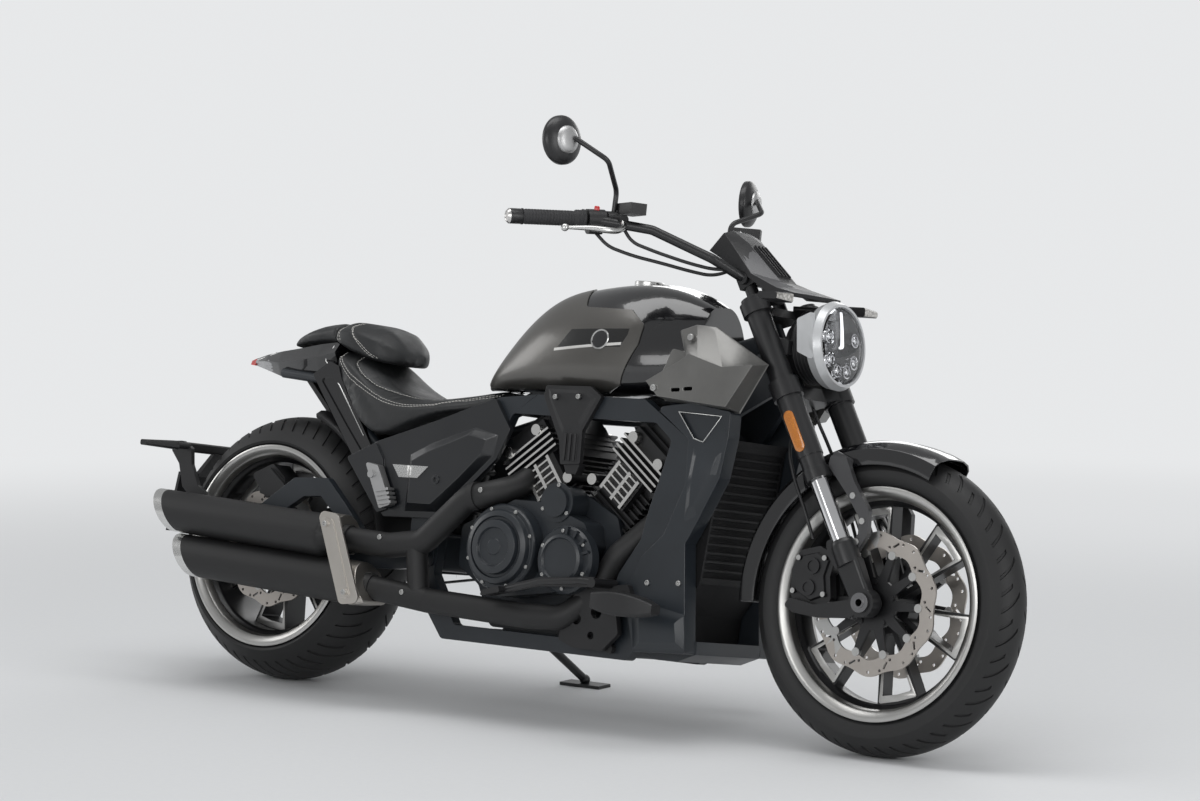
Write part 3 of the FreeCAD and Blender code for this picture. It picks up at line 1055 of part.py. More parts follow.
vee_cover = vee_cover.fuse(side_loft([(-4, 752), (112, 756), (138, 740), (98, 664), (48, 648), (0, 732)], 172.0,
                                     [(8, 742), (106, 746), (122, 734), (90, 676), (56, 664), (14, 726)], 177.0))
for i in range(3):
    rib_x = 58.0 + 14.0 * i
    vee_cover = vee_cover.fuse(box(rib_x, rib_x + 6.0, 171.0, 177.0, 590.0, 652.0))
for bolt_x, bolt_z in ((26, 734), (92, 738)):
    vee_cover = vee_cover.fuse(ring(bolt_x, bolt_z, 176.0, 181.0, 7.5))
vee_cover = vee_cover.removeSplitter()
vee_cover = without(vee_cover, [rear_cylinder, front_cylinder, mirrored(rear_cylinder), crankcase])
vee_cover_right = without(mirrored(vee_cover), [vee_round])
bracket = side_plate([(105, 181), (120, 260), (150, 300), (287, 322), (300, 296), (262, 250), (272, 208), (230, 166), (150, 166)],
                     -188.0, -172.0, 8.0)
standoff = ring(240, 172, -174.0, -156.0, 10.0)
peg_shape = Part.makeLoft([
    rounded_wire([V(262, -292, 262), V(262, -246, 262), V(262, -246, 298), V(262, -292, 298)], 6.0),
    rounded_wire([V(404, -292, 256), V(404, -246, 256), V(404, -246, 292), V(404, -292, 292)], 6.0),
    rounded_wire([V(428, -286, 262), V(428, -252, 262), V(428, -252, 284), V(428, -286, 284)], 6.0)], True)
peg_ribs = [box(288 + 22 * i, 296 + 22 * i, -290, -248, 290 - i, 300 - i) for i in range(5)]
peg_hinge = Part.makeCylinder(13.0, 80.0, V(272, -252, 279), V(0, 1, 0))
peg = fused([peg_shape, box(250, 300, -250, -172, 262, 296), peg_hinge] + peg_ribs)
bracket = bracket.cut(Part.makeCompound([ring(152, 232, -190.0, -170.0, 13.0), ring(206, 252, -190.0, -170.0, 15.0),
                                         ring(196, 198, -190.0, -170.0, 9.0)]))
footrest = without(fused([bracket, peg, standoff]), [exhaust, frame, crankcase])
footrest = max(footrest.Solids, key=lambda s: s.Volume)
pedal = pipe([V(-27, -246, 278), V(85, -250, 308), V(197, -252, 320), V(236, -250, 320)], 8.0, 40.0)
pedal_pad = side_plate([(-66, 262), (-60, 276), (-14, 290), (-8, 276)], -276.0, -236.0, 4.0)
pedal_web = side_plate([(-20, 272), (88, 298), (236, 308), (240, 332), (84, 318), (-24, 288)], -253.0, -247.0, 4.0)
pedal = fused([pedal, pedal_pad, pedal_web, rod(V(236, -170, 318), V(236, -258, 318), 11.0)])
pedal = without(pedal, [footrest, exhaust, clutch, small_cover, crankcase])
shift = pipe([V(60, 244, 300), V(140, 246, 316), V(236, 246, 318)], 8.0, 40.0)
shift = shift.fuse(rod(V(236, 170, 318), V(236, 252, 318), 9.0)).fuse(rod(V(60, 236, 300), V(60, 290, 300), 9.0)).removeSplitter()
left_footrest = mirrored(footrest)
shift = without(shift, [left_footrest, crankcase, alternator])
passenger_peg = side_plate([(-510, 548), (-470, 542), (-420, 452), (-454, 440)], 178.3, 200.0, 5.0)
for i in range(4):
    rib_mid = V(-446 + 4 * i, 0, 482 - 10 * i)
    passenger_peg = passenger_peg.fuse(side_plate([(rib_mid.x - 22, rib_mid.z + 2), (rib_mid.x + 16, rib_mid.z + 10),
                                                   (rib_mid.x + 18, rib_mid.z + 4), (rib_mid.x - 20, rib_mid.z - 4)], 180.0, 204.0))
passenger_peg = passenger_peg.fuse(ring(-486, 520, 178.3, 206.0, 9.0)).removeSplitter()
crankcase_final = without(crankcase, [clutch, small_cover])
crankcase_final = fused([crankcase_final, small_cover, vee_round, alternator, sprocket])
frame = without(frame, [left_footrest, footrest])
rear_subframe = without(rear_subframe, [side_cover, mirrored(side_cover)])
footrest = footrest.cut(crankcase_final)
footrest = max(footrest.Solids, key=lambda s: s.Volume)
left_footrest = left_footrest.cut(crankcase_final)
left_footrest = max(left_footrest.Solids, key=lambda s: s.Volume)
pieces["crankcase"] = crankcase_final
pieces["swingarm"] = swingarm
shock = without(shock, [swingarm, crankcase_final] + structure)
pieces["shock_absorber"] = max(shock.Solids, key=lambda s: s.Volume)
pieces["radiator_shrouds"] = without(shrouds, [footrest, left_footrest])
pieces["tail_fairing"] = without(tail, structure)
pieces["rear_caliper"] = rear_caliper
pieces["drive_belt"] = belt
pieces["rear_mudguard"] = hugger
pieces["plate_carrier"] = plate_carrier
pieces["rider_saddle"] = saddle
pieces["passenger_pads"] = Part.makeCompound([hump, rear_pad])
pieces["tail_light"] = tail_light
pieces["side_covers"] = pair(side_cover)
pieces["vee_covers"] = Part.makeCompound([vee_cover, vee_cover_right])
pieces["footrests"] = Part.makeCompound([footrest, left_footrest])
pieces["brake_pedal"] = pedal
pieces["gear_lever"] = shift
pieces["passenger_pegs"] = pair(passenger_peg)

# Side stand: leg, return boss and a foot pad that lies flat on the ground when parked


def to_ground(shape):
    shape = shape.copy()
    shape.rotate(V(0, 0, 0), V(1, 0, 0), -lean_angle)
    shape.translate(V(0, 0, raise_z))
    return shape


def from_ground(shape):
    shape = shape.copy()
    shape.translate(V(0, 0, -raise_z))
    shape.rotate(V(0, 0, 0), V(1, 0, 0), lean_angle)
    return shape


pad = from_ground(box(stand_foot.x - 60, stand_foot.x + 60, stand_foot.y - 24, stand_foot.y + 24, 0.0, 8.0))
ankle = from_ground(Part.makeSphere(13.0, stand_foot + V(0, 0, 16.0))).CenterOfMass
axis = V(stand_axis)
axis.normalize()
stand_leg = cone(stand_pivot, ankle, 11.0, 10.0)
stand_eye = rod(stand_pivot - axis * 12.0, stand_pivot + axis * 12.0, 22.0)
stand = fused([pad, stand_leg, stand_eye, Part.makeSphere(13.0, ankle)])
stand = stand.cut(rod(stand_pivot - axis * 30.0, stand_pivot + axis * 30.0, 8.6))
stand_pin = rod(stand_pivot - axis * 30.0, stand_pivot + axis * 18.0, 8.0)
lug_low = rod(stand_pivot - axis * 32.0, stand_pivot - axis * 14.5, 20.0)
lug = fused([stand_pin, lug_low, box(-272, -228, 156, 188, 148, 166)])
lug = lug.cut(rod(stand_pivot - axis * 14.4, stand_pivot + axis * 14.4, 60.0).cut(rod(stand_pivot - axis * 16, stand_pivot + axis * 16, 8.0)))
frame = fused([frame, lug])
pieces["frame"] = frame
pieces["steering_head"] = steering_head
pieces["rear_subframe"] = rear_subframe
pieces["side_stand"] = stand

for name, shape in pieces.items():
    leaned = to_ground(shape)
    leaned.translate(V(parked_x, parked_y, 0))
    leaned.exportStep("parts/" + name + ".step")
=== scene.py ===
import json
import math

import bpy
from mathutils import Matrix, Vector
from mathutils.bvhtree import BVHTree
from mathutils.kdtree import KDTree

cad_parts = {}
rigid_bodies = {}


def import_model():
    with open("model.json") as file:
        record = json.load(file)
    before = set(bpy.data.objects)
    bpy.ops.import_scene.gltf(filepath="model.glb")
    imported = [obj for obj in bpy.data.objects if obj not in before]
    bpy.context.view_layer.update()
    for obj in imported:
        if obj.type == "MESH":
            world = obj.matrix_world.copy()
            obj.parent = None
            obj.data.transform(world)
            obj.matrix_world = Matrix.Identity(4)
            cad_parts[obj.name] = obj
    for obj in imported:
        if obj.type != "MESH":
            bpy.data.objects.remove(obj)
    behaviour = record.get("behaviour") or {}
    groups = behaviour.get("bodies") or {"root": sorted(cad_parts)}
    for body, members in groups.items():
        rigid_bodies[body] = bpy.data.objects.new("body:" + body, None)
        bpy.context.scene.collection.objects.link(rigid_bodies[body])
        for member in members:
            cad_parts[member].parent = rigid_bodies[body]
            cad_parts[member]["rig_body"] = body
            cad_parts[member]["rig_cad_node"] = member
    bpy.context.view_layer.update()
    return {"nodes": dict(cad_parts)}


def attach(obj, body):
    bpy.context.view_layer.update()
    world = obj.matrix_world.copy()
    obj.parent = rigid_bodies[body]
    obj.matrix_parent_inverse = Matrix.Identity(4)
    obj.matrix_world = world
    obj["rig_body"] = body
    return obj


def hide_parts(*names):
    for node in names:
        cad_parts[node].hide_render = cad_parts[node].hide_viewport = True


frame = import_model()
solids = frame["nodes"]


# Perimeter frame, steering head, saddle rails and swingarm
# Welded steel beams and tubes that hold the engine, with a cast swingarm behind it. All four are
# coated in one satin dark blue-grey paint, with a fine orange-peel texture and broken edges.

def operator(operation):
    return lambda first, second: first.coat.sum(operation, first, second)


class Port:
    """A shader value that takes part in sums as a number does."""

    def __init__(self, coat, socket):
        self.coat = coat
        self.socket = socket

    def __rsub__(self, other):
        return self.coat.sum("SUBTRACT", other, self)

    __add__ = __radd__ = operator("ADD")
    __sub__ = operator("SUBTRACT")
    __mul__ = __rmul__ = operator("MULTIPLY")
    __gt__ = operator("GREATER_THAN")
    __lt__ = operator("LESS_THAN")


class Coat:
    """One finish: a Principled shader and the nodes that feed it."""

    def __init__(self, name, colour, rough, metal=0.0, **fixed):
        self.material = bpy.data.materials.new(name)
        self.material.use_nodes = True
        self.tree = self.material.node_tree
        self.shader = self.tree.nodes["Principled BSDF"]
        self.set("Base Color", colour)
        self.set("Roughness", rough)
        self.set("Metallic", metal)
        for socket, value in fixed.items():
            self.set(socket.replace("_", " ").title().replace("Ior", "IOR"), value)

    def set(self, socket, value):
        self.link(value, self.shader.inputs[socket])

    def link(self, value, target):
        if isinstance(value, Port):
            self.tree.links.new(value.socket, target)
        elif hasattr(value, "__len__") and len(value) == 3 and target.type == "RGBA":
            target.default_value = (*value, 1.0)
        else:
            target.default_value = value

    def node(self, kind, settings=None, out=0, **values):
        made = self.tree.nodes.new(kind)
        for key, value in (settings or {}).items():
            setattr(made, key, value)
        for key, value in values.items():
            index = int(key[1:]) if key[0] == "i" and key[1:].isdigit() else key.replace("_", " ")
            self.link(value, made.inputs[index])
        return Port(self, made.outputs[out])

    def sum(self, operation, first, second=0.0):
        return self.node("ShaderNodeMath", {"operation": operation}, i0=first, i1=second)

    def place(self):
        return self.node("ShaderNodeTexCoord", out="Object")

    def noise(self, scale, detail=3.0, roughness=0.55, stretch=(1.0, 1.0, 1.0), turn=(0.0, 0.0, 0.0)):
        spot = self.node("ShaderNodeMapping", i0=self.place(), Scale=stretch, Rotation=turn)
        return self.node("ShaderNodeTexNoise", Vector=spot, Scale=scale, Detail=detail, Roughness=roughness)

    def between(self, value, low, high, start=0.0, end=1.0):
        return self.node("ShaderNodeMapRange", i0=value, i1=low, i2=high, i3=start, i4=end)

    def mixed(self, share, first, second):
        return self.node("ShaderNodeMix", {"data_type": "RGBA"}, out=2, i0=share, i6=first, i7=second)

    def relief(self, height, depth, strength=1.0):
        self.set("Normal", self.node("ShaderNodeBump", Height=height, Distance=depth, Strength=strength))

    def worn(self, colour, spread=0.12, scale=9.0):
        """A little lighter and darker in soft patches, as any used surface is."""
        patch = self.between(self.noise(scale, 4.0), 0.3, 0.7)
        dark = [c * (1.0 - spread) for c in colour]
        light = [min(1.0, c * (1.0 + spread)) for c in colour]
        self.set("Base Color", self.mixed(patch, dark, light))
        return patch


def satin_paint(name, colour, rough=0.38, grain=700.0, metal=0.0, coat=0.15, depth=0.00004):
    paint = Coat(name, colour, rough, metal, coat_weight=coat, coat_roughness=0.2)
    patch = paint.worn(colour)
    paint.set("Roughness", patch * 0.06 + (rough - 0.03))
    paint.relief(paint.noise(grain, 2.0), depth, 0.35)
    return paint.material


lean = math.radians(9.29)
parked = Matrix.Translation((0.014, -0.182, 0.00168)) @ Matrix.Rotation(-lean, 4, "X")
stood_up = parked.inverted()


def bike(x, y, z):
    """A place on the upright machine, in millimetres, carried to the parked one in metres."""
    return parked @ Vector((x / 1000.0, y / 1000.0, z / 1000.0))


def choose(*pieces):
    """Selects just these pieces and makes the last one active."""
    bpy.ops.object.select_all(action="DESELECT")
    for piece in pieces:
        piece.select_set(True)
    bpy.context.view_layer.objects.active = pieces[-1]


def in_mode(mode):
    bpy.ops.object.mode_set(mode=mode)


def modified(piece, name, kind, **settings):
    """Gives the chosen piece a modifier with these settings and applies it."""
    modifier = piece.modifiers.new(name, kind)
    for setting, value in settings.items():
        setattr(modifier, setting, value)
    bpy.ops.object.modifier_apply(modifier=modifier.name)


def one_coat(spot, normal):
    """The same coat on every face."""
    return 0


def painted(piece, own):
    """Gives each face the place of its coat, which the test tells from its upright spot and normal."""
    for face in piece.data.polygons:
        face.material_index = own(stood_up @ face.center, stood_up.to_3x3() @ face.normal)


sharp_from = math.radians(38.0)


def welded_copy(node, name):
    """A copy of a solid of the frame with its triangles welded, left in edit mode."""
    copy = solids[node].copy()
    copy.data = solids[node].data.copy()
    copy.name = name
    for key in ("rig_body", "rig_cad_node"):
        if key in copy:
            del copy[key]
    copy.parent = None
    bpy.context.scene.collection.objects.link(copy)
    copy.hide_render = False
    choose(copy)
    in_mode("EDIT")
    bpy.ops.mesh.select_all(action="SELECT")
    bpy.ops.mesh.remove_doubles(threshold=0.00002)
    return copy


def dressed(node, name, body, coats, edge=0.0012, own=one_coat, smooth=32.0, segments=2,
            edge_coat=-1, free=False, cuts=()):
    """A welded copy of a solid with its edges broken, which carries the finish.

    The test named own tells each face its place in coats. With free, an edge is broken at its full
    width even where a short edge lies beside it. Each cut is a plane that parts faces.
    """
    copy = welded_copy(node, name)
    bpy.ops.mesh.dissolve_limited(angle_limit=math.radians(0.6))
    for spot, across in cuts:
        bpy.ops.mesh.select_all(action="SELECT")
        bpy.ops.mesh.bisect(plane_co=spot, plane_no=across)
    in_mode("OBJECT")
    copy.data.materials.clear()
    for coat in coats:
        copy.data.materials.append(coat)
    painted(copy, own)
    if edge > 0.0:
        modified(copy, "broken edges", "BEVEL", width=edge, segments=segments, limit_method="ANGLE",
                 angle_limit=sharp_from, use_clamp_overlap=not free, material=edge_coat)
    bpy.ops.object.shade_smooth_by_angle(angle=math.radians(smooth))
    modified(copy, "flat faces", "WEIGHTED_NORMAL", keep_sharp=True)
    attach(copy, body)
    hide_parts(node)
    return copy


frame_paint = satin_paint("satin frame paint", (0.0145, 0.0185, 0.0235), 0.36)
dressed("frame", "frame_beams", "chassis", [frame_paint], 0.0014, free=True)
dressed("steering_head", "steering_head_casting", "chassis", [frame_paint])
dressed("rear_subframe", "saddle_rails", "chassis", [frame_paint])
dressed("swingarm", "swingarm_beams", "chassis", [frame_paint], 0.0014, free=True)

# Crankcase, clutch cover and their screws
# One cast alloy case with a domed ringed clutch cover and smaller round covers, coated satin dark
# grey. Socket screws of zinc-plated steel hold the covers round their rims.

surfaces = {}


def skin_of(piece):
    """A tree of a piece's faces, which finds the nearest spot or the first one on a line."""
    return BVHTree.FromPolygons([v.co.copy() for v in piece.data.vertices],
                                [tuple(p.vertices) for p in piece.data.polygons])


def seat(nodes, x, z, side, reach=700.0):
    """Where a line from one side of the upright machine meets the named solids, and the way out."""
    start = bike(x, side * reach, z)
    toward = (bike(x, 0.0, z) - start).normalized()
    hits = []
    for node in nodes:
        if node not in surfaces:
            surfaces[node] = skin_of(solids[node])
        spot, _, _, gap = surfaces[node].ray_cast(start, toward)
        if spot is not None:
            hits.append((gap, spot))
    return min(hits, key=lambda hit: hit[0])[1], -toward


def seats(node, places, sides=(-1, 1)):
    """The same places in x and z on each side of one solid."""
    return [seat([node], x, z, side) for side in sides for x, z in places]


def pick(piece, want):
    """In edit mode, with only the faces selected that the test names."""
    if bpy.context.mode != "OBJECT":
        in_mode("OBJECT")
    choose(piece)
    in_mode("EDIT")
    bpy.ops.mesh.select_mode(type="FACE")
    bpy.ops.mesh.select_all(action="DESELECT")
    in_mode("OBJECT")
    for face in piece.data.polygons:
        face.select = bool(want(face))
    in_mode("EDIT")


def placed(piece, matrix):
    """Moves a piece by a matrix, which then goes into its mesh."""
    choose(piece)
    piece.matrix_world = matrix
    bpy.ops.object.transform_apply(location=True, rotation=True, scale=True)
    return piece


def made_sound(weld=0.0):
    """Turns all faces outward in edit mode, after spots closer than the weld have been joined."""
    bpy.ops.mesh.select_all(action="SELECT")
    if weld:
        bpy.ops.mesh.remove_doubles(threshold=weld)
    bpy.ops.mesh.normals_make_consistent(inside=False)
    in_mode("OBJECT")


def turned(name, profile, sides=48, closed=True):
    """A lathe-like piece along Z: a disc whose ring is drawn out and widened step by step.

    Each point of its profile is a radius and a height in millimetres.
    """
    profile = [(wide / 1000.0, high / 1000.0) for wide, high in profile]
    radius, height = profile[0]
    fill = "NGON" if closed else "NOTHING"
    bpy.ops.mesh.primitive_circle_add(vertices=sides, radius=radius, fill_type=fill)
    piece = bpy.context.object
    piece.name = name
    placed(piece, Matrix.Translation((0.0, 0.0, height)))
    in_mode("EDIT")
    bpy.ops.mesh.select_all(action="SELECT")
    draw_out = bpy.ops.mesh.extrude_region_move if closed else bpy.ops.mesh.extrude_edges_move
    for wide, high in profile[1:]:
        draw_out(TRANSFORM_OT_translate={"value": (0.0, 0.0, high - height)})
        ratio = wide / radius
        bpy.ops.transform.resize(value=(ratio, ratio, 1.0), center_override=(0.0, 0.0, 0.0))
        radius, height = wide, high
    made_sound(0.000005)
    return piece


def set_on(piece, spot, axis):
    """Puts a piece drawn along Z at its place on the parked machine."""
    turn = Vector(axis).to_track_quat("Z", "Y").to_matrix().to_4x4()
    return placed(piece, Matrix.Translation(spot) @ turn)


def fitted(piece, body, slot, *coats, smooth=35.0):
    """Gives a made piece its coats and its body; its slot is not used."""
    choose(piece)
    piece.data.materials.clear()
    for coat in coats:
        piece.data.materials.append(coat)
    bpy.ops.object.shade_smooth_by_angle(angle=math.radians(smooth))
    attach(piece, body)
    return piece


def joined(name, pieces):
    choose(*pieces)
    if len(pieces) > 1:
        bpy.ops.object.join()
    piece = bpy.context.object
    piece.name = name
    return piece


def socket_screw(radius, head):
    """A socket screw: a turned head with its edge broken and a hole sunk in it, in millimetres."""
    profile = [(radius * 0.96, -2.0), (radius, -1.5), (radius, head * 0.86), (radius * 0.9, head)]
    screw = turned("socket_screw", profile, 18)
    pick(screw, lambda face: face.normal.z > 0.9)
    bpy.ops.mesh.inset(thickness=radius * 0.00036, depth=0.0)
    bpy.ops.mesh.inset(thickness=radius * 0.00002, depth=-head * 0.0006)
    in_mode("OBJECT")
    return screw


def screws(name, body, slot, coat, radius, head, places):
    """The same screw at each place, in one piece."""
    first = socket_screw(radius, head)
    made = []
    for spot, axis in places:
        copy = first.copy()
        copy.data = first.data.copy()
        bpy.context.scene.collection.objects.link(copy)
        made.append(set_on(copy, spot, axis))
    bpy.data.objects.remove(first)
    return fitted(joined(name, made), body, slot, coat)


def bare_metal(name, colour, rough, depth=0.00002, brush=(1.0, 1.0, 1.0)):
    """Metal without paint, its fine grain even or, with a brush, drawn out along one axis."""
    metal = Coat(name, colour, rough, 1.0)
    grain = metal.noise(420.0, 3.0, 0.7, brush)
    metal.worn(colour, 0.06)
    metal.set("Roughness", metal.between(grain, 0.3, 0.7, rough - 0.035, rough + 0.04))
    metal.relief(grain, depth, 0.2)
    return metal.material


engine_paint = satin_paint("engine coat", (0.0150, 0.0185, 0.0230), 0.38, 900.0)
zinc = bare_metal("zinc plated steel", (0.55, 0.55, 0.54), 0.32)
dressed("crankcase", "crankcase_casting", "chassis", [engine_paint], 0.0012)
dressed("clutch_cover", "clutch_cover_casting", "chassis", [engine_paint], 0.0008)


def ring_of_places(nodes, x, z, radius, count, first, side):
    """Screw places round a cover, found on the solids named."""
    places = []
    for step in range(count):
        turn = math.radians(first + 360.0 * step / count)
        places.append(seat(nodes, x + radius * math.cos(turn), z + radius * math.sin(turn), side))
    return places


for name, x, z, ring_radius, count, first, side, screw_radius in (
        ("clutch_cover_screws", -63.0, 377.0, 92.0, 8, 20.0, -1, 4.4),
        ("small_cover_screws", 121.0, 363.0, 66.0, 6, 35.0, -1, 4.4),
        ("vee_cover_screws", 65.0, 492.0, 40.0, 3, 85.0, -1, 4.8),
        ("alternator_screws", 40.0, 370.0, 92.0, 8, 10.0, 1, 5.0)):
    places = ring_of_places(["clutch_cover", "crankcase"], x, z, ring_radius, count, first, side)
    screws(name, "chassis", "engine_satin", zinc, screw_radius, 4.0, places)

# Cylinders with polished fins and caps
# Two finned barrels and heads at a right V, coated black. Their outer ribs, rungs and round caps are
# milled after coating and then polished, so bare aluminium shows on every outer face.

cylinder_black = satin_paint("cylinder black", (0.008, 0.008, 0.009), 0.38, 900.0)
polished = bare_metal("polished aluminium", (0.78, 0.77, 0.75), 0.2, 0.000004)
fin_face = 0.1295


def milled_outside(spot, normal):
    """Bare metal on every face that lies outside the depth of the milling cut."""
    return 1 if abs(spot.y) > fin_face else 0


for node in ("rear_cylinder", "front_cylinder"):
    dressed(node, node + "_casting", "chassis", [cylinder_black, polished], 0.0009,
            milled_outside)

# Covers over the V and behind the engine
# Matte moulded plastic bridges the two cylinders, and half-gloss black side covers hide what lies
# under the saddle. Each side cover has a plain silver strip and a round lock.


def moulded_plastic(name, colour, rough=0.5, grain=1500.0):
    plastic = Coat(name, colour, rough)
    patch = plastic.worn(colour, 0.1, 14.0)
    plastic.set("Roughness", patch * 0.1 + (rough - 0.05))
    plastic.relief(plastic.noise(grain, 2.0), 0.00006, 0.5)
    return plastic.material


def gloss_paint(name, colour, rough=0.16, coat=1.0):
    paint = Coat(name, colour, rough, coat_weight=coat, coat_roughness=0.03)
    patch = paint.worn(colour, 0.06)
    paint.set("Roughness", patch * 0.05 + (rough - 0.02))
    paint.relief(paint.noise(160.0, 1.0), 0.00002, 0.2)
    return paint.material


def plate(name, outline, near, far, edge=0.6):
    """A flat plate cut to an outline of x and z on the upright machine, between two sideways places."""
    line = bpy.data.curves.new(name, "CURVE")
    line.dimensions = "2D"
    line.fill_mode = "BOTH"
    run = line.splines.new("POLY")
    run.points.add(len(outline) - 1)
    for point, (x, z) in zip(run.points, outline):
        point.co = (x / 1000.0, z / 1000.0, 0.0, 1.0)
    run.use_cyclic_u = True
    thick = abs(far - near) / 1000.0
    line.bevel_depth = edge / 1000.0
    line.bevel_resolution = 1
    line.offset = -edge / 1000.0
    line.extrude = max(0.0, thick / 2.0 - edge / 1000.0)
    piece = bpy.data.objects.new(name, line)
    bpy.context.scene.collection.objects.link(piece)
    choose(piece)
    bpy.ops.object.convert(target="MESH")
    middle = Matrix.Translation((0.0, (near + far) / 2000.0, 0.0))
    placed(piece, parked @ middle @ Matrix.Rotation(math.radians(90.0), 4, "X"))
    in_mode("EDIT")
    made_sound(0.00001)
    return piece


matte_plastic = moulded_plastic("black plastic", (0.010, 0.010, 0.011), 0.46)
gloss_black = gloss_paint("gloss black", (0.004, 0.004, 0.005))
cover_black = gloss_paint("side cover black", (0.007, 0.008, 0.010), 0.3, 0.5)
brush_lines = (1.0, 1.0, 60.0)
brushed = bare_metal("brushed plate", (0.56, 0.53, 0.49), 0.34, brush=brush_lines)
silver_trim = bare_metal("silver trim", (0.66, 0.66, 0.65), 0.26, 0.000004)
dressed("vee_covers", "vee_covers_moulding", "chassis", [matte_plastic], 0.0012, free=True)
dressed("side_covers", "side_covers_moulding", "chassis", [cover_black], 0.0014, free=True)


def strip_on(name, node, corners, side, proud=0.0016, thick=0.0014):
    """A thin strip between four corners in x and z, bent to lie on the solid behind it."""
    bpy.ops.mesh.primitive_grid_add(x_subdivisions=14, y_subdivisions=4, size=1.0)
    strip = bpy.context.object
    strip.name = name
    (ax, az), (bx, bz), (cx, cz), (dx, dz) = corners
    for vertex in strip.data.vertices:
        across, up = vertex.co.x + 0.5, vertex.co.y + 0.5
        x = (ax * (1.0 - across) + bx * across) * (1.0 - up) + (dx * (1.0 - across) + cx * across) * up
        z = (az * (1.0 - across) + bz * across) * (1.0 - up) + (dz * (1.0 - across) + cz * across) * up
        spot, out = seat([node], x, z, side)
        vertex.co = spot + out * proud
    choose(strip)
    modified(strip, "thickness", "SOLIDIFY", thickness=thick, offset=0.0)
    in_mode("EDIT")
    made_sound()
    return strip


strip_corners = [(-424, 519), (-352, 520), (-322, 549), (-446, 548)]
cover_strips = [strip_on("cover_strip", "side_covers", strip_corners, side) for side in (-1, 1)]
fitted(joined("side_cover_strips", cover_strips), "chassis", "machined_alloy", silver_trim)
screws("vee_bridge_screws", "chassis", "black_plastic", zinc, 6.0, 5.0,
       seats("vee_covers", ((26.0, 734.0), (92.0, 738.0))))

# Radiator and its shrouds
# A black aluminium core of fine fins, with painted shade in the gaps between them, stands between
# two broad satin cheeks with a chin below it.
# A plain triangular recess near the top of each cheek has a thin silver rim.

fin_black = Coat("radiator fins", (0.012, 0.012, 0.013), 0.45, 0.3)
fin_bands_and_gap_shade = fin_black.node("ShaderNodeTexWave", {"bands_direction": "Z"}, Vector=fin_black.place(),
                          Scale=330.0)
fin_black.set("Roughness", fin_bands_and_gap_shade * 0.2 + 0.35)
# The darker bands are painted shade in the gaps between the fins; the same bands also set the fins'
# roughness and relief.
fin_black.set("Base Color", fin_black.mixed(fin_bands_and_gap_shade, (0.003, 0.003, 0.004), (0.012, 0.012, 0.013)))
fin_black.relief(fin_bands_and_gap_shade, 0.0005, 0.8)
dressed("radiator", "radiator_core", "chassis", [fin_black.material], 0.0006)
dressed("radiator_shrouds", "radiator_cheeks", "chassis", [frame_paint], 0.0016, free=True)


def rod(name, places, radius, resolution=2, widths=None):
    """A round rod along a run of places, with its own width at each where widths are given."""
    line = bpy.data.curves.new(name, "CURVE")
    line.dimensions = "3D"
    run = line.splines.new("POLY")
    run.points.add(len(places) - 1)
    for index, (point, place) in enumerate(zip(run.points, places)):
        point.co = (*place, 1.0)
        point.radius = widths[index] if widths else 1.0
    line.bevel_depth = radius
    line.bevel_resolution = resolution
    line.use_fill_caps = True
    piece = bpy.data.objects.new(name, line)
    bpy.context.scene.collection.objects.link(piece)
    choose(piece)
    bpy.ops.object.convert(target="MESH")
    return piece


def edge_strip(name, points, radius=0.0016):
    """A thin bright strip laid along an edge of the upright machine, in millimetres."""
    return rod(name, [bike(*point) for point in points], radius)


recess = [(372, 720), (490, 716), (446, 656), (420, 662), (372, 720)]
cheek_face = 173.7
recess_edges = [edge_strip("recess_edge", [(x, side * cheek_face, z) for x, z in recess])
                for side in (-1, 1)]
fitted(joined("recess_edges", recess_edges), "chassis", "machined_alloy", silver_trim, smooth=60.0)
screws("shroud_screws", "chassis", "frame_satin", zinc, 6.2, 5.0,
       seats("radiator_shrouds", ((330.0, 330.0), (416.0, 336.0))))

# Exhaust pipes, mufflers and their band plate
# Two steel pipes with heat shields run to two long stacked mufflers, all in heat-proof matte black.
# The slash-cut tips are turned silver rings, and a brushed champagne plate ties the mufflers.

matte_black = satin_paint("heat proof black", (0.009, 0.009, 0.0095), 0.55, 1300.0, 0.0, 0.0, 0.00007)
tip_long = 0.023
slash_out = Vector((0.883, 0.0, 0.469))
mouths = [Vector((-1.098, -0.234, 0.389)), Vector((-1.022, -0.232, 0.284))]
between_mufflers = 0.3375


def muffler_tip(spot, normal):
    """The bright ring of the upper or the lower muffler, up to its own slanted line."""
    mouth = mouths[0] if spot.z > between_mufflers else mouths[1]
    return 1 if (spot - mouth).dot(slash_out) < tip_long - 0.0001 else 0


tip_lines = [(parked @ (mouth + slash_out * tip_long), parked.to_3x3() @ slash_out) for mouth in mouths]
dressed("exhaust_pipes", "exhaust_pipes_welded", "chassis", [matte_black], 0.0009)
dressed("mufflers", "mufflers_rolled", "chassis", [matte_black, silver_trim], 0.0,
        muffler_tip, cuts=tip_lines)
dressed("muffler_band", "muffler_band_plate", "chassis", [brushed], 0.0012, free=True)
screws("exhaust_screws", "chassis", "exhaust_black", zinc, 6.5, 5.0,
       seats("muffler_band", ((-530.0, 392.0), (-452.0, 236.0)), (-1,)))
screws("pipe_screws", "chassis", "exhaust_black", zinc, 6.2, 4.0,
       seats("exhaust_pipes", ((-407.7, 372.9), (-323.8, 250.0), (-124.8, 504.3)), (-1,)))

# Shock absorber, drive belt, pulley, rear axle and caliper
# A coil-over damper sits upright behind the engine. A flat-backed rubber belt drives the left
# pulley, and a two-piston caliper on the right hangs over the rear disc.


def rubber(name, colour, rough, grain=900.0):
    skin = Coat(name, colour, rough)
    patch = skin.worn(colour, 0.2, 6.0)
    skin.set("Roughness", patch * 0.12 + (rough - 0.06))
    skin.relief(skin.noise(grain, 3.0), 0.00008, 0.4)
    return skin.material


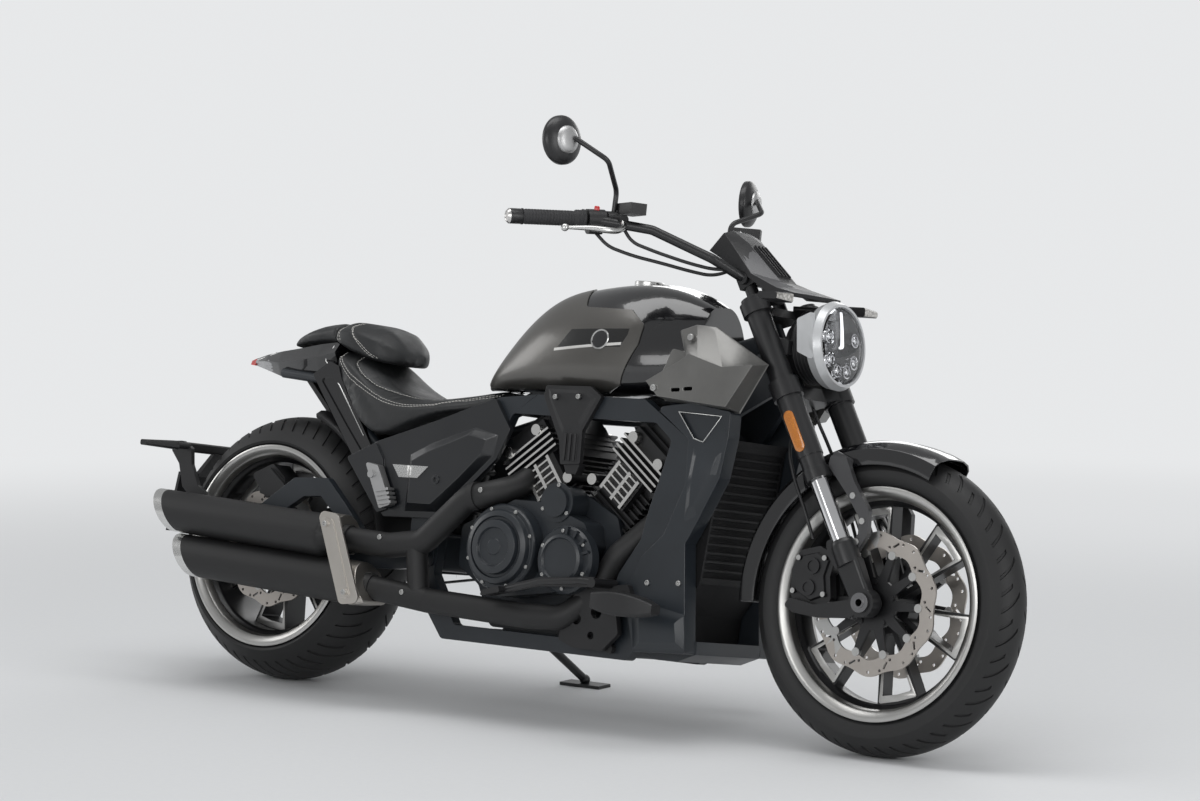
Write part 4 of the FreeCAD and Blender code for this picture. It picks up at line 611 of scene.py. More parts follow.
alloy = bare_metal("machined alloy", (0.62, 0.61, 0.60), 0.3, brush=brush_lines)
black_satin = satin_paint("satin black", (0.009, 0.009, 0.010), 0.38)
belt_rubber = rubber("belt rubber", (0.014, 0.014, 0.014), 0.7)
spring_foot = 0.365
spring_top = 0.6
dressed("shock_absorber", "shock_absorber_unit", "chassis", [black_satin, alloy], 0.0008,
        lambda spot, normal: 0 if spring_foot <= spot.z <= spring_top else 1)
dressed("drive_belt", "toothed_belt", "chassis", [belt_rubber], 0.0006)
dressed("driven_pulley", "belt_pulley", "rear_wheel", [black_satin, alloy], 0.001,
        edge_coat=1)
dressed("rear_axle", "rear_axle_turned", "chassis", [alloy], 0.001)
dressed("rear_caliper", "rear_caliper_casting", "chassis", [black_satin], 0.0016)

# Rear wheel and front wheel
# Cast aluminium wheels in satin black, whose forked spokes and rim flanges are turned bright after
# coating. The petal discs are ground steel on black carriers, held by silver buttons.

wheel_black = satin_paint("wheel black", (0.009, 0.009, 0.010), 0.36)
bright_cut = bare_metal("bright turned rim", (0.52, 0.515, 0.50), 0.33, 0.000002)
disc_steel = bare_metal("ground disc steel", (0.50, 0.465, 0.43), 0.34, 0.000002)
front_hub = Vector((0.8675, 0.0, 0.3342))
rear_hub = Vector((-0.8675, 0.0, 0.325))


def beside(hub, spot):
    """How far a spot lies from a wheel's axis, in millimetres."""
    return 1000.0 * math.hypot(spot.x - hub.x, spot.z - hub.z)


def wheel_parts(hub, flange):
    """Bright on the side faces of the rim's flange and black elsewhere."""
    def which(spot, normal):
        away = beside(hub, spot)
        return 1 if away > flange - 26.0 and abs(normal.y) > 0.35 else 0
    return which


def disc_parts(hub, seat_radius):
    """Steel outside the ring of buttons, zinc on the ring and black inside it."""
    def which(spot, normal):
        away = beside(hub, spot)
        return 0 if away > seat_radius + 10.5 else (2 if away > seat_radius - 9.8 else 1)
    return which


def spoke_faces(name, body, hub, half, first, window, outer):
    """The bright milled face of each spoke: a thin collar round the outer end of its window."""
    (foot, low), (broad, top) = window
    wide, high = outer
    start = low + 34.0
    near_foot = foot + (broad - foot) / (top - low) * (start - low)
    right = [(near_foot, start), (near_foot + 2.6, start), (broad + 5.5, top - 8.0), (wide, high - 4.0),
             (wide - 2.5, high)]
    collar = [(broad, top), *right, (0.0, high + 2.5), *((-s, r) for s, r in reversed(right)),
              (-broad, top), (0.0, top + 3.0)]
    faces = []
    for index in range(6):
        turn = math.radians(first + 60.0 * index)
        outline = []
        for s, r in collar:
            outline.append((hub.x * 1000.0 + r * math.cos(turn) + s * math.sin(turn),
                            hub.z * 1000.0 + r * math.sin(turn) - s * math.cos(turn)))
        for side in (-1, 1):
            near, far = sorted((side * (half - 0.6), side * (half + 1.0)))
            faces.append(plate("spoke_face", outline, near, far, 0.4))
    return fitted(joined(name, faces), body, "wheel_alloy", bright_cut)


axle_line = parked.to_3x3() @ Vector((0.0, 1.0, 0.0))
lip_profile = [(-0.4, 5.0), (0.3, 6.6), (-3.0, 8.2), (-7.0, 8.8), (-12.0, 6.8), (-18.0, 3.0),
               (-23.5, -0.9), (-24.6, -2.6), (-28.4, -21.0), (-27.0, -22.0), (-20.0, -6.0),
               (-8.0, 4.0), (-0.4, 5.0)]


def rim_lips(name, body, hub, flange, half):
    """The bright turned lip round both sides of a wheel."""
    lips = []
    for side in (-1.0, 1.0):
        profile = [(flange + r, half + y) for r, y in lip_profile]
        lips.append(set_on(turned("rim_lip", profile, 128, False), parked @ hub, axle_line * side))
    return fitted(joined(name, lips), body, "wheel_alloy", bright_cut, smooth=40.0)


for end, hub, flange, lip, spoke_half, first, window, outer, discs, disc_seat in (
        ("rear", rear_hub, 247.0, 112.0, 34.0, 20.0, ((9.8, 70.0), (35.7, 185.2)), (48.0, 203.0),
         "rear_disc", 108.0),
        ("front", front_hub, 258.0, 54.0, 20.0, 45.0, ((8.8, 64.0), (37.6, 196.4)), (48.5, 212.0),
         "front_discs", 114.0)):
    wheel = end + "_wheel"
    rim_lips(end + "_rim_lips", wheel, hub, flange, lip)
    spoke_faces(end + "_spoke_faces", wheel, hub, spoke_half, first, window, outer)
    dressed(end + "_rim", end + "_rim_casting", wheel, [wheel_black, bright_cut], 0.0,
            wheel_parts(hub, flange))
    dressed(discs, discs + "_ground", wheel, [disc_steel, wheel_black, zinc], 0.0005,
            disc_parts(hub, disc_seat))

# Tyres
# Road tyres of black rubber, each pressed on its rim. Their tread is cut in slanted grooves that
# sweep back from the middle to each shoulder, and the sidewalls are plain.

tyre_rubber = rubber("tyre rubber", (0.010, 0.010, 0.0105), 0.56, 500.0)


def road_tyre(name, hub, radius, crown, wall, last_angle, bead, bead_half, rows, columns, sweep, pitch=8):
    """A tyre made as on a lathe, in millimetres and degrees, then twisted and cut with grooves.

    Its tread is an arc as round as crown, out to last_angle each way. It is turned about the hub by
    more and more towards each shoulder, at most by sweep. A groove comes every pitch columns.
    """
    tread = []
    for step in range(rows + 1):
        turn = math.radians(-last_angle + 2.0 * last_angle * step / rows)
        tread.append((radius - crown * (1.0 - math.cos(turn)), crown * math.sin(turn)))
    profile = [(bead, -bead_half), *((r, -y) for r, y in wall), *tread, *reversed(wall),
               (bead, bead_half), (bead, -bead_half)]
    tyre = turned(name, profile, columns, closed=False)
    reach = crown * math.sin(math.radians(last_angle)) / 1000.0

    def slant(y):
        share = min(1.0, abs(y) / reach)
        return sweep * share ** 0.7

    choose(tyre)
    for lane in sorted({round(y / 1000.0, 6) for _, y in profile}):
        if abs(slant(lane)) < 0.0001:
            continue
        in_mode("EDIT")
        bpy.ops.mesh.select_mode(type="VERT")
        bpy.ops.mesh.select_all(action="DESELECT")
        in_mode("OBJECT")
        for vertex in tyre.data.vertices:
            vertex.select = abs(vertex.co.z - lane) < 0.00001
        in_mode("EDIT")
        bpy.ops.transform.rotate(value=-slant(lane), orient_axis="Z", center_override=(0.0, 0.0, 0.0))
    step = 2.0 * math.pi / columns

    def in_groove(face):
        x, y, z = face.center
        share = abs(z) / reach
        if math.hypot(x, y) < bead / 1000.0 + 0.02 or share > 0.93 or abs(face.normal.z) > 0.86:
            return False
        turn = (math.atan2(y, x) - slant(z)) % (2.0 * math.pi)
        column = int(turn / step + 0.5 * (columns % 2)) % pitch
        if z < 0.0:
            column = (column + pitch // 2) % pitch
        return (column == 0 and share > 0.12) or (column == pitch // 2 and share > 0.5)

    pick(tyre, in_groove)
    bpy.ops.mesh.inset(thickness=0.0012, depth=-0.0035)
    in_mode("OBJECT")
    return set_on(tyre, parked @ hub, axle_line)


front_wall = [(259, 53), (268, 60), (281, 65.5), (294, 64.5)]
rear_wall = [(248, 111), (252, 117), (258, 119.5), (264, 115)]
for end, hub, shape in (
        ("front", front_hub, (335.0, 70.0, front_wall, 55.0, 244.0, 52.8, 14, 216, 0.2)),
        ("rear", rear_hub, (325.0, 128.0, rear_wall, 52.0, 233.0, 110.8, 20, 200, 0.28))):
    tyre = road_tyre(end + "_tyre_tread", hub, *shape)
    fitted(tyre, end + "_wheel", "tyre_rubber", tyre_rubber, smooth=28.0)
    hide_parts(end + "_tyre")

# Yokes, fork tubes and their reflectors
# Forged yokes clamp black anodised outer tubes, upside down, over hard chromed inner tubes. An amber
# reflector in the shape of a long pill is glued to the outer side of each tube.


def fork(x, y, z):
    """A place given along the fork: ahead of its axis, sideways, and up it from the front axle."""
    return (867.5 + x * 0.8686 - z * 0.4955, y, 334.2 + x * 0.4955 + z * 0.8686)


def up_the_fork(spot):
    """How far up the fork a spot lies from the front axle, in millimetres."""
    return 1000.0 * (-(spot.x - 0.8675) * 0.4955 + (spot.z - 0.3342) * 0.8686)


def pill(x, z, half_long, half_wide, steps=8):
    """The outline of a long pill, in x and z along the fork."""
    outline = []
    for end in (1.0, -1.0):
        for step in range(steps + 1):
            turn = math.pi * step / steps
            along = half_long - half_wide + half_wide * math.sin(turn)
            outline.append((x + end * half_wide * math.cos(turn), z + end * along))
    return outline


def lens_plastic(name, colour, rough, metal, cells, dark, light, depth, strength, **fixed):
    """Clear moulded plastic over small cells, which lie in two shades of one colour."""
    lens = Coat(name, colour, rough, metal, **fixed)
    cell = lens.node("ShaderNodeTexVoronoi", Vector=lens.place(), Scale=cells)
    lens.set("Base Color", lens.mixed(cell, dark, light))
    lens.relief(cell, depth, strength)
    return lens.material


chrome = bare_metal("hard chrome", (0.76, 0.76, 0.77), 0.09, 0.000002)
amber = lens_plastic("amber reflector", (0.80, 0.26, 0.02), 0.14, 0.0, 420.0, (0.36, 0.10, 0.006),
                     (0.60, 0.21, 0.015), 0.0003, 0.5, coat_weight=1.0, coat_roughness=0.02)
chrome_from = 150.2
dressed("yokes", "yokes_forged", "steering", [black_satin], 0.0014)
dressed("fork_outer_tubes", "fork_outer_tubes_turned", "steering", [black_satin], 0.0006)
dressed("fork_lower_legs", "fork_lower_legs_cast", "steering", [black_satin, chrome], 0.0012,
        lambda spot, normal: 1 if up_the_fork(spot) > chrome_from else 0)
reflector_outline = [fork(x, 0.0, z)[::2] for x, z in pill(0.0, 417.0, 50.0, 13.0)]
reflectors = [plate("fork_reflector", reflector_outline, side * 133.6, side * 137.0, 1.2)
              for side in (-1, 1)]
fitted(joined("fork_reflectors", reflectors), "steering", "lamp_glass", amber)
dark_alloy = bare_metal("dark alloy", (0.20, 0.20, 0.205), 0.34)
dressed("front_axle", "front_axle_turned", "steering", [dark_alloy], 0.0008)

# Front mudguard, its braces and the front calipers
# A gloss black rolled mudguard hangs on two forged arms coated satin gunmetal. Two four-piston
# calipers are held behind the fork legs. Zinc-plated bolts fix all of them.


def near_any(spots, reach, least):
    """The bolts: faces near one of the spots in x and z, and at least so far out to a side."""
    def which(spot, normal):
        if abs(spot.y) < least / 1000.0:
            return 0
        close = any(math.hypot(spot.x * 1000.0 - x, spot.z * 1000.0 - z) < reach for x, z in spots)
        return 1 if close else 0
    return which


arm_paint = satin_paint("arm gunmetal", (0.075, 0.075, 0.078), 0.34, 600.0, 0.5, 0.2)
dressed("front_mudguard", "front_mudguard_rolled", "steering", [gloss_black], 0.0008)
dressed("mudguard_braces", "mudguard_arms_forged", "steering", [arm_paint, zinc], 0.0014,
        near_any([(806, 566), (836, 512), (826, 466)], 7.6, 98.0))
dressed("front_calipers", "front_calipers_cast", "steering", [black_satin, zinc], 0.0014,
        near_any([(684, 420), (676, 346), (752, 424), (756, 344)], 6.6, 103.4))

# Headlamp
# A ribbed plastic shell carries a silver painted bezel with a lug on each side. Behind the clear
# cover are a black bowl, small round projectors and a white light bar with a hook at its foot.

lamp_frame = parked @ Matrix.Translation((0.676, 0.0, 0.900)) @ Matrix.Rotation(math.radians(83.5), 4, "Y")


def in_lamp(piece, left=0.0, up=0.0, ahead=0.0):
    """Puts a piece drawn along Z in the headlamp, whose glass looks ahead."""
    return placed(piece, lamp_frame @ Matrix.Translation((-up / 1000.0, -left / 1000.0, ahead / 1000.0)))


silver_paint = satin_paint("silver lamp paint", (0.56, 0.57, 0.58), 0.34, 700.0, 0.35, 0.3, 0.00002)
clear = Coat("clear cover", (0.97, 0.98, 1.0), 0.02, transmission_weight=1.0, ior=1.42)
clear.relief(clear.noise(30.0, 1.0), 0.00002, 0.1)
white_bar = Coat("light bar", (0.9, 0.92, 0.95), 0.2)
haze = white_bar.noise(40.0, 1.0)
white_bar.set("Emission Color", white_bar.mixed(haze, (0.93, 0.96, 1.0), (1.0, 1.0, 1.0)))
white_bar.set("Emission Strength", 1.3)
bowl_black = gloss_paint("lamp bowl black", (0.003, 0.003, 0.004), 0.25, 0.3)
dressed("headlamp_shell", "headlamp_shell_moulded", "steering", [matte_plastic], 0.0008)
dressed("headlamp_bezel", "headlamp_bezel_turned", "steering", [silver_paint], 0.0014)
cover_profile = [(86.2, -6.0), (86.8, -4.0), (85.5, -1.0), (78.0, 3.0), (62.0, 6.2), (40.0, 8.4),
                 (18.0, 9.4), (4.0, 9.6)]
bowl_profile = [(84.5, -33.0), (86.6, -32.5), (86.6, -6.4), (83.8, -6.4), (81.5, -10.5), (76.0, -12.5),
                (56.0, -13.5), (54.0, -11.5), (16.0, -11.5), (15.0, -13.5)]
cover = in_lamp(turned("headlamp_cover", cover_profile, 72))
fitted(cover, "steering", "lamp_glass", clear.material, smooth=60.0)
bowl = in_lamp(turned("headlamp_bowl", bowl_profile, 72))
fitted(bowl, "steering", "lamp_glass", bowl_black)
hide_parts("headlamp_lens")
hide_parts("headlamp_lens")
cup_profile = [(15.0, -24.0), (16.0, -23.5), (16.0, -13.0), (13.5, -12.5), (12.5, -16.5), (11.5, -15.0),
               (9.0, -11.8), (4.5, -10.0)]
cups = [in_lamp(turned("projector", cup_profile, 28), side * left, up, 11.0)
        for left, up in ((50.0, 16.0), (46.0, -34.0), (19.0, -56.0)) for side in (1, -1)]
fitted(joined("headlamp_projectors", cups), "steering", "lamp_glass", chrome, smooth=50.0)
bar_outline = [(-2.5, 74.0), (2.5, 74.0), (4.6, 6.0), (4.4, -1.0), (1.5, -5.5), (-3.0, -7.5), (-11.0, -8.0),
               (-11.5, -3.5), (-6.0, -1.5), (-4.6, 3.0)]
light_bar = plate("headlamp_light_bar", bar_outline, -2.5, 2.5, 1.0)
in_bowl = lamp_frame @ Matrix.Translation((0.0, 0.0, -0.006)) @ Matrix.Rotation(math.radians(90.0), 4, "Z")
placed(light_bar, in_bowl @ Matrix.Rotation(math.radians(-90.0), 4, "X") @ stood_up)
fitted(light_bar, "steering", "lamp_glass", white_bar.material)

# Instrument cowl and its round display
# A ribbed plastic cowl covers the round instrument. Its sloping shoulders carry a pale grey painted
# highlight, and the display behind it is a disc of dark glass in a black ring.

# A pale grey painted highlight for the up-facing shoulder faces, where light falls on the cowl.
cowl_shoulder_highlight = satin_paint("cowl shoulder painted highlight", (0.10, 0.10, 0.104), 0.42, 700.0, 0.3, 0.1)
dark_glass = Coat("dark glass", (0.006, 0.007, 0.009), 0.05, coat_weight=1.0)
dark_glass.set("Roughness", dark_glass.noise(12.0, 2.0) * 0.06 + 0.03)


def cowl_shoulder(spot, normal):
    """The faces of the cowl that slope down to each side and face up, which carry the painted highlight."""
    slopes = normal.z > 0.22 and abs(normal.y) > 0.12
    return 1 if slopes and 0.440 < spot.x < 0.600 and abs(spot.y) > 0.0325 else 0


# The up-facing shoulder faces get the painted highlight, the rest matte black plastic.
dressed("instrument_cowl", "instrument_cowl_moulded", "steering",
        [matte_plastic, cowl_shoulder_highlight], 0.0012, cowl_shoulder, 14.0, free=True)
display_profile = [(27.0, -4.0), (28.5, -3.0), (28.5, 4.0), (26.5, 5.5), (25.0, 3.5), (18.0, 4.0),
                   (4.0, 4.2)]
display = turned("instrument_display", display_profile)
set_on(display, bike(355.5, 0.0, 1124.5), parked.to_3x3() @ Vector((-0.8, 0.0, 0.6)))
fitted(display, "steering", "black_gloss", dark_glass.material)

# Handlebar, grips, controls and levers
# A steel bar in satin black. Rubber grips end in turned weights with a bright face, switch blocks
# sit inside them, one with a red rocker, and the levers are forged and polished.

bar_bend = Vector((151.0, -277.0, 1137.0))
bar_run = Vector((-89.0, -143.0, -14.0)).normalized()
dressed("handlebar", "handlebar_bent", "steering", [black_satin], 0.0)
grip_rubber = rubber("grip rubber", (0.022, 0.022, 0.024), 0.6, 1200.0)
sleeve_profile = [(12.5, 0.0), (21.5, 0.0), (22.2, 1.0), (22.2, 4.0), (21.2, 5.0)]
for start in (7.0, 12.0, 17.0):
    sleeve_profile += [(19.6, start), (20.4, start + 1.0), (20.4, start + 3.0)]
sleeve_profile += [(17.2, 25.0)]
for step in range(16):
    start = 29.0 + 7.2 * step
    sleeve_profile += [(16.8, start), (17.6, start + 0.8), (17.6, start + 4.8), (16.8, start + 5.6)]
sleeve_profile += [(16.8, 147.5), (18.5, 148.5), (18.5, 150.8), (12.2, 150.8)]
weight_profile = [(12.2, 151.2), (17.2, 151.2), (17.6, 152.0), (17.6, 178.0), (16.8, 179.0),
                  (16.8, 180.0), (17.6, 180.8), (13.0, 186.8), (11.0, 186.8), (10.0, 185.0),
                  (3.0, 185.0)]
sleeves = []
weights = []
for side in (-1, 1):
    at = bar_bend + bar_run * 18.0
    spot = bike(at.x, at.y * -side, at.z)
    axis = parked.to_3x3() @ Vector((bar_run.x, bar_run.y * -side, bar_run.z))
    sleeves.append(set_on(turned("grip_sleeve", sleeve_profile, 32), spot, axis))
    weights.append(set_on(turned("grip_weight", weight_profile, 40), spot, axis))
sleeve = fitted(joined("grip_sleeves", sleeves), "steering", "grip_rubber", grip_rubber)
weight = fitted(joined("grip_end_weights", weights), "steering", "machined_alloy", black_satin, alloy)
bright_from = 198.2


def weight_end(spot, normal):
    """The bright face of a weight, told by its reach along the bar."""
    reach = (1000.0 * Vector((spot.x, -abs(spot.y), spot.z)) - bar_bend).dot(bar_run)
    return 1 if reach > bright_from else 0


painted(weight, weight_end)
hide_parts("grips")
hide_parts("grips")
polished_lever = bare_metal("polished lever", (0.62, 0.62, 0.61), 0.24, 0.000003)
dressed("bar_controls", "bar_controls_moulded", "steering", [matte_plastic], 0.0016)


def dense(points, gap=0.002):
    """The same run with a point every few millimetres, on a smooth curve through the given ones."""
    run = []
    count = len(points)
    for i in range(count - 1):
        p0, p1, p2, p3 = points[max(i - 1, 0)], points[i], points[i + 1], points[min(i + 2, count - 1)]
        steps = max(2, int((p2 - p1).length / gap))
        for step in range(steps):
            t = step / steps
            run.append(0.5 * ((2 * p1) + (p2 - p0) * t + (2 * p0 - 5 * p1 + 4 * p2 - p3) * t * t
                              + (3 * p1 - p0 - 3 * p2 + p3) * t * t * t))
    run.append(points[-1])
    return run


lever_path = [(214, 247, 1139), (228, 256, 1124), (229, 278, 1113), (220, 305, 1110.5), (197, 340, 1110),
              (165, 390, 1104.5)]
ball_profile = [(3.0, -8.6), (6.2, -6.6), (8.4, -3.0), (9.0, 0.0), (8.4, 3.0), (6.2, 6.6), (3.0, 8.6)]


def forged_lever(side):
    """A hand lever that bends down from its pivot, swells a little and ends in a ball."""
    run = dense([bike(x, y * side, z) for x, y, z in lever_path], 0.006)
    shares = [index / (len(run) - 1) for index in range(len(run))]
    widths = [1.25 - 0.55 * share + 0.35 * math.sin(math.pi * share) ** 2 for share in shares]
    ball = set_on(turned("lever_ball", ball_profile, 24), run[-1], run[-1] - run[-2])
    return [rod("lever", run, 0.0056, 4, widths), ball]


levers = fitted(joined("hand_levers", forged_lever(-1) + forged_lever(1)), "steering", "machined_alloy",
                polished_lever, smooth=60.0)
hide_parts("levers")
red_plastic = Coat("red switch", (0.55, 0.02, 0.02), 0.35, coat_weight=0.4)
red_plastic.worn((0.55, 0.02, 0.02), 0.1, 30.0)


def on_bar(along, ahead, up, side):
    """A place on one half of the bar: along it, ahead of it and above it, in millimetres."""
    forward = bar_run.cross(Vector((0.0, 0.0, 1.0))).normalized() * -1.0
    at = bar_bend + bar_run * along + forward * ahead
    return bike(at.x, at.y * -side, at.z + up)


def rocker(name, along, ahead, up, side, long, wide, high):
    """A switch key with a raised top and soft edges."""
    bpy.ops.mesh.primitive_cube_add(size=1.0)
    key = bpy.context.object
    key.name = name
    placed(key, Matrix.Diagonal((wide / 1000.0, long / 1000.0, high / 1000.0, 1.0)))
    pick(key, lambda face: face.normal.z > 0.9)
    bpy.ops.mesh.inset(thickness=wide * 0.00018, depth=0.0)
    bpy.ops.transform.translate(value=(0.0, 0.0, high * 0.00018))
    in_mode("OBJECT")
    modified(key, "soft edges", "BEVEL", width=0.0012, segments=3)
    turn = Matrix.Rotation(-lean, 4, "X") @ Matrix.Rotation(math.radians(-32.0 * side), 4, "Z")
    return placed(key, Matrix.Translation(on_bar(along, ahead, up, side)) @ turn)


stop = rocker("stop_switch", -10.0, 4.0, 24.0, -1, 15.0, 12.0, 9.0)
fitted(stop, "steering", "black_plastic", red_plastic.material)
keys = [rocker("starter_key", -8.0, -21.0, 4.0, -1, 14.0, 8.0, 12.0),
        rocker("horn_key", -8.0, -21.0, 2.0, 1, 13.0, 8.0, 12.0),
        rocker("dip_key", -14.0, 4.0, 24.0, 1, 16.0, 11.0, 7.0)]
fitted(joined("bar_switch_keys", keys), "steering", "black_plastic", matte_plastic)

# Mirrors
# Round glass in satin black turned heads with a satin silver cap at the back. Each head is screwed
# to a bent steel stalk that stands on its switch block.

mirror_cap = bare_metal("satin mirror cap", (0.50, 0.50, 0.50), 0.42, 0.000001)
mirror_seats = [(Vector((0.112, -0.372, 1.303)), Vector((0.97, -0.15, 0.06)).normalized()),
                (Vector((0.118, 0.372, 1.256)), Vector((0.955, 0.29, 0.03)).normalized())]
looking_glass = bare_metal("looking glass", (0.85, 0.86, 0.87), 0.03, 0.0000005)


def from_seat(spot, centre, facing):
    """How far a spot lies behind a mirror's glass, and how far from its axis."""
    along = (spot - centre).dot(facing)
    return along, (spot - centre - facing * along).length


def mirror_parts(spot, normal):
    """Glass in front, the cap behind, and the bowl between them."""
    for centre, facing in mirror_seats:
        along, out = from_seat(spot, centre, facing)
        if out < 0.0512 and along < 0.0020 and normal.dot(facing) < -0.9:
            return 2
        if out < 0.0317 and along > 0.0262:
            return 1
    return 0


stalks = dressed("mirrors", "mirror_stalks", "steering", [black_satin], 0.0)


def in_a_head(face):
    """The faces of the solid's own heads, which the turned ones replace."""
    for centre, facing in mirror_seats:
        along, out = from_seat(stood_up @ face.center, centre, facing)
        if out < 0.0575 and -0.001 < along < 0.037:
            return True
    return False


pick(stalks, in_a_head)
bpy.ops.mesh.delete(type="FACE")
in_mode("OBJECT")
head_profile = [(51.5, 1.2), (52.2, -0.2), (54.8, 0.2), (56.0, 2.2), (56.0, 10.0), (55.2, 12.8),
                (52.0, 16.5), (46.0, 20.5), (38.5, 23.8), (31.8, 25.8), (31.2, 29.0), (29.6, 30.6),
                (24.0, 34.0), (16.0, 36.0), (4.0, 36.6)]
heads = [set_on(turned("mirror_head", head_profile, 64), parked @ centre, parked.to_3x3() @ facing)
         for centre, facing in mirror_seats]
heads = fitted(joined("mirror_heads", heads), "steering", "black_gloss", black_satin, mirror_cap,
               looking_glass)
painted(heads, mirror_parts)
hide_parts("mirrors")

# Front indicators, brake hoses and bar cables
# Slim black indicators look ahead through clear lenses. Rubber hoses run from the bar to the yoke
# and down each fork leg to its caliper.

lens_face = lens_plastic("indicator lens", (0.42, 0.40, 0.37), 0.1, 0.3, 160.0,
                         (0.70, 0.68, 0.64), (0.16, 0.15, 0.14), 0.0006, 0.7, coat_weight=1.0)
dressed("front_indicators", "front_indicators_moulded", "steering",
        [matte_plastic, lens_face], 0.001,
        lambda spot, normal: 1 if normal.x > 0.75 and abs(spot.y) > 0.15 else 0)
hose_rubber = rubber("hose rubber", (0.013, 0.013, 0.014), 0.45, 1500.0)
dressed("brake_hoses", "brake_hoses_rubber", "steering", [hose_rubber], 0.0, smooth=60.0)
dressed("bar_cables", "bar_cables_rubber", "steering", [hose_rubber], 0.0, smooth=60.0)

# Fuel tank, its filler and its side panels
# A pressed steel tank in deep gloss black between two satin gunmetal panels. Each panel carries a
# black stripe with a bright line under it and a plain round boss. The filler cap has a bright ring.

dressed("fuel_tank", "fuel_tank_pressed", "chassis", [gloss_black], 0.0022, segments=3)
filler_profile = [(34.0, -12.0), (35.5, -8.0), (35.5, 1.5), (33.0, 3.5), (26.5, 3.5), (25.5, 2.0),
                  (23.5, 2.0), (22.5, 3.2), (8.0, 4.0), (2.0, 4.0)]
filler = turned("filler_cap", filler_profile, 56)
set_on(filler, bike(130.0, 0.0, 1020.5), parked.to_3x3() @ Vector((0.0, 0.0, 1.0)))
fitted(filler, "chassis", "machined_alloy", silver_trim, black_satin)
painted(filler, lambda spot, normal: 1 if math.hypot(spot.x - 0.130, spot.y) < 0.024 else 0)

panel = Coat("tank panel gunmetal", (0.125, 0.120, 0.112), 0.32, 0.6, coat_weight=0.3, coat_roughness=0.15)
spot = panel.node("ShaderNodeSeparateXYZ", i0=panel.place())
along = Port(panel, spot.socket.node.outputs[0]) - 0.014
sideways = Port(panel, spot.socket.node.outputs[1]) + 0.182
height = Port(panel, spot.socket.node.outputs[2]) * 0.98688 + sideways * 0.16143 - 0.00166
inside = (along > -0.006) * (along < 0.194)
stripe = (height < along * 0.05 + 0.8930) * (height > along * 0.045 + 0.8510)
stripe = stripe * (height > along * -3.0 + 0.835) * (along < (height - 0.858) * 0.45 + 0.1800) * inside
stripe = stripe * (along > (height - 0.8505) * 0.75 - 0.004)
line = (height < along * 0.11 + 0.8500) * (height > along * 0.11 + 0.8435)
line = line * (along > -0.014) * (along < 0.182)
flake = panel.between(panel.noise(2600.0, 1.0), 0.35, 0.75)
patch = panel.between(panel.noise(5.0, 3.0), 0.3, 0.7)
base = panel.mixed(patch, (0.088, 0.084, 0.078), (0.104, 0.100, 0.093))
base = panel.mixed(flake * 0.35, base, (0.19, 0.185, 0.175))
base = panel.mixed(stripe, base, (0.008, 0.008, 0.008))
panel.set("Base Color", panel.mixed(line, base, (0.62, 0.61, 0.59)))
panel.set("Metallic", (1.0 - stripe) * 0.6)
panel.set("Roughness", patch * 0.05 + 0.29 - stripe * 0.08)
panel.relief(panel.noise(900.0, 1.0), 0.00002, 0.25)
dressed("tank_side_panels", "tank_panels_pressed", "chassis", [panel.material], 0.0016,
        segments=3)
boss_x = 122.7
boss_z = 874.0
boss_reach = 16.0
boss_profile = [(24.0, -3.0), (24.5, 0.8), (23.5, 2.4), (21.5, 2.4), (20.5, 1.2), (19.0, 1.6),
                (8.0, 2.1), (2.0, 2.1)]
bosses = []
for side in (-1, 1):
    middle, out = seat(["tank_side_panels"], boss_x, boss_z, side)
    above, below, ahead, behind = [spot for spot, _ in seats("tank_side_panels", (
        (boss_x, boss_z + boss_reach), (boss_x, boss_z - boss_reach),
        (boss_x + boss_reach, boss_z), (boss_x - boss_reach, boss_z)), (side,))]
    facing = (above - below).cross(ahead - behind).normalized()
    facing = facing if facing.dot(out) > 0.0 else -facing
    bosses.append(set_on(turned("panel_boss", boss_profile), middle, facing))
boss = fitted(joined("tank_panel_bosses", bosses), "chassis", "black_gloss", silver_trim, gloss_black)


def boss_middle(spot, normal):
    """Black inside the boss's bright ring."""
    out = math.hypot(spot.x - boss_x / 1000.0, (spot.z - boss_z / 1000.0) * 1.02)
    return 0 if out > 0.0208 else 1


painted(boss, boss_middle)

# Intake scoops
# Faceted plastic scoops in pale metallic satin paint close each side of the tank's nose. One screw
# holds the upper corner of each and one the lower.

scoop_paint = satin_paint("scoop paint", (0.175, 0.173, 0.166), 0.34, 900.0, 0.65, 0.25, 0.00002)
dressed("intake_scoops", "intake_scoops_moulded", "chassis", [scoop_paint], 0.0018,
        segments=3, smooth=16.0, free=True)
screws("scoop_screws", "chassis", "grey_paint", zinc, 7.5, 5.0,
       seats("intake_scoops", ((394.0, 888.0), (322.0, 768.0))))

# Rider's saddle, passenger hump and rear pad
# Foam pads under black leather, pulled in along sewn channels with pale thread. The foam is let
# swell by a cloth simulation, then the leather is drawn down along each seam and stitched.

leather = Coat("saddle leather", (0.013, 0.014, 0.015), 0.5)
pores = leather.node("ShaderNodeTexVoronoi", {"feature": "DISTANCE_TO_EDGE"}, Vector=leather.place(),
                     Scale=260.0)
creases = leather.noise(26.0, 5.0, 0.6)
grain = leather.between(pores, 0.0, 0.25) * 0.6 + creases * 0.6
leather.worn((0.014, 0.015, 0.016), 0.22, 7.0)
leather.set("Roughness", leather.between(creases, 0.3, 0.7, 0.40, 0.56))
leather.relief(grain, 0.0005, 0.45)
thread = Coat("pale thread", (0.52, 0.51, 0.48), 0.75)
twist = thread.noise(900.0, 2.0, 0.6, (1.0, 1.0, 4.0))
thread.set("Base Color", thread.mixed(twist, (0.38, 0.37, 0.35), (0.62, 0.61, 0.58)))
thread.relief(twist, 0.0002, 0.6)


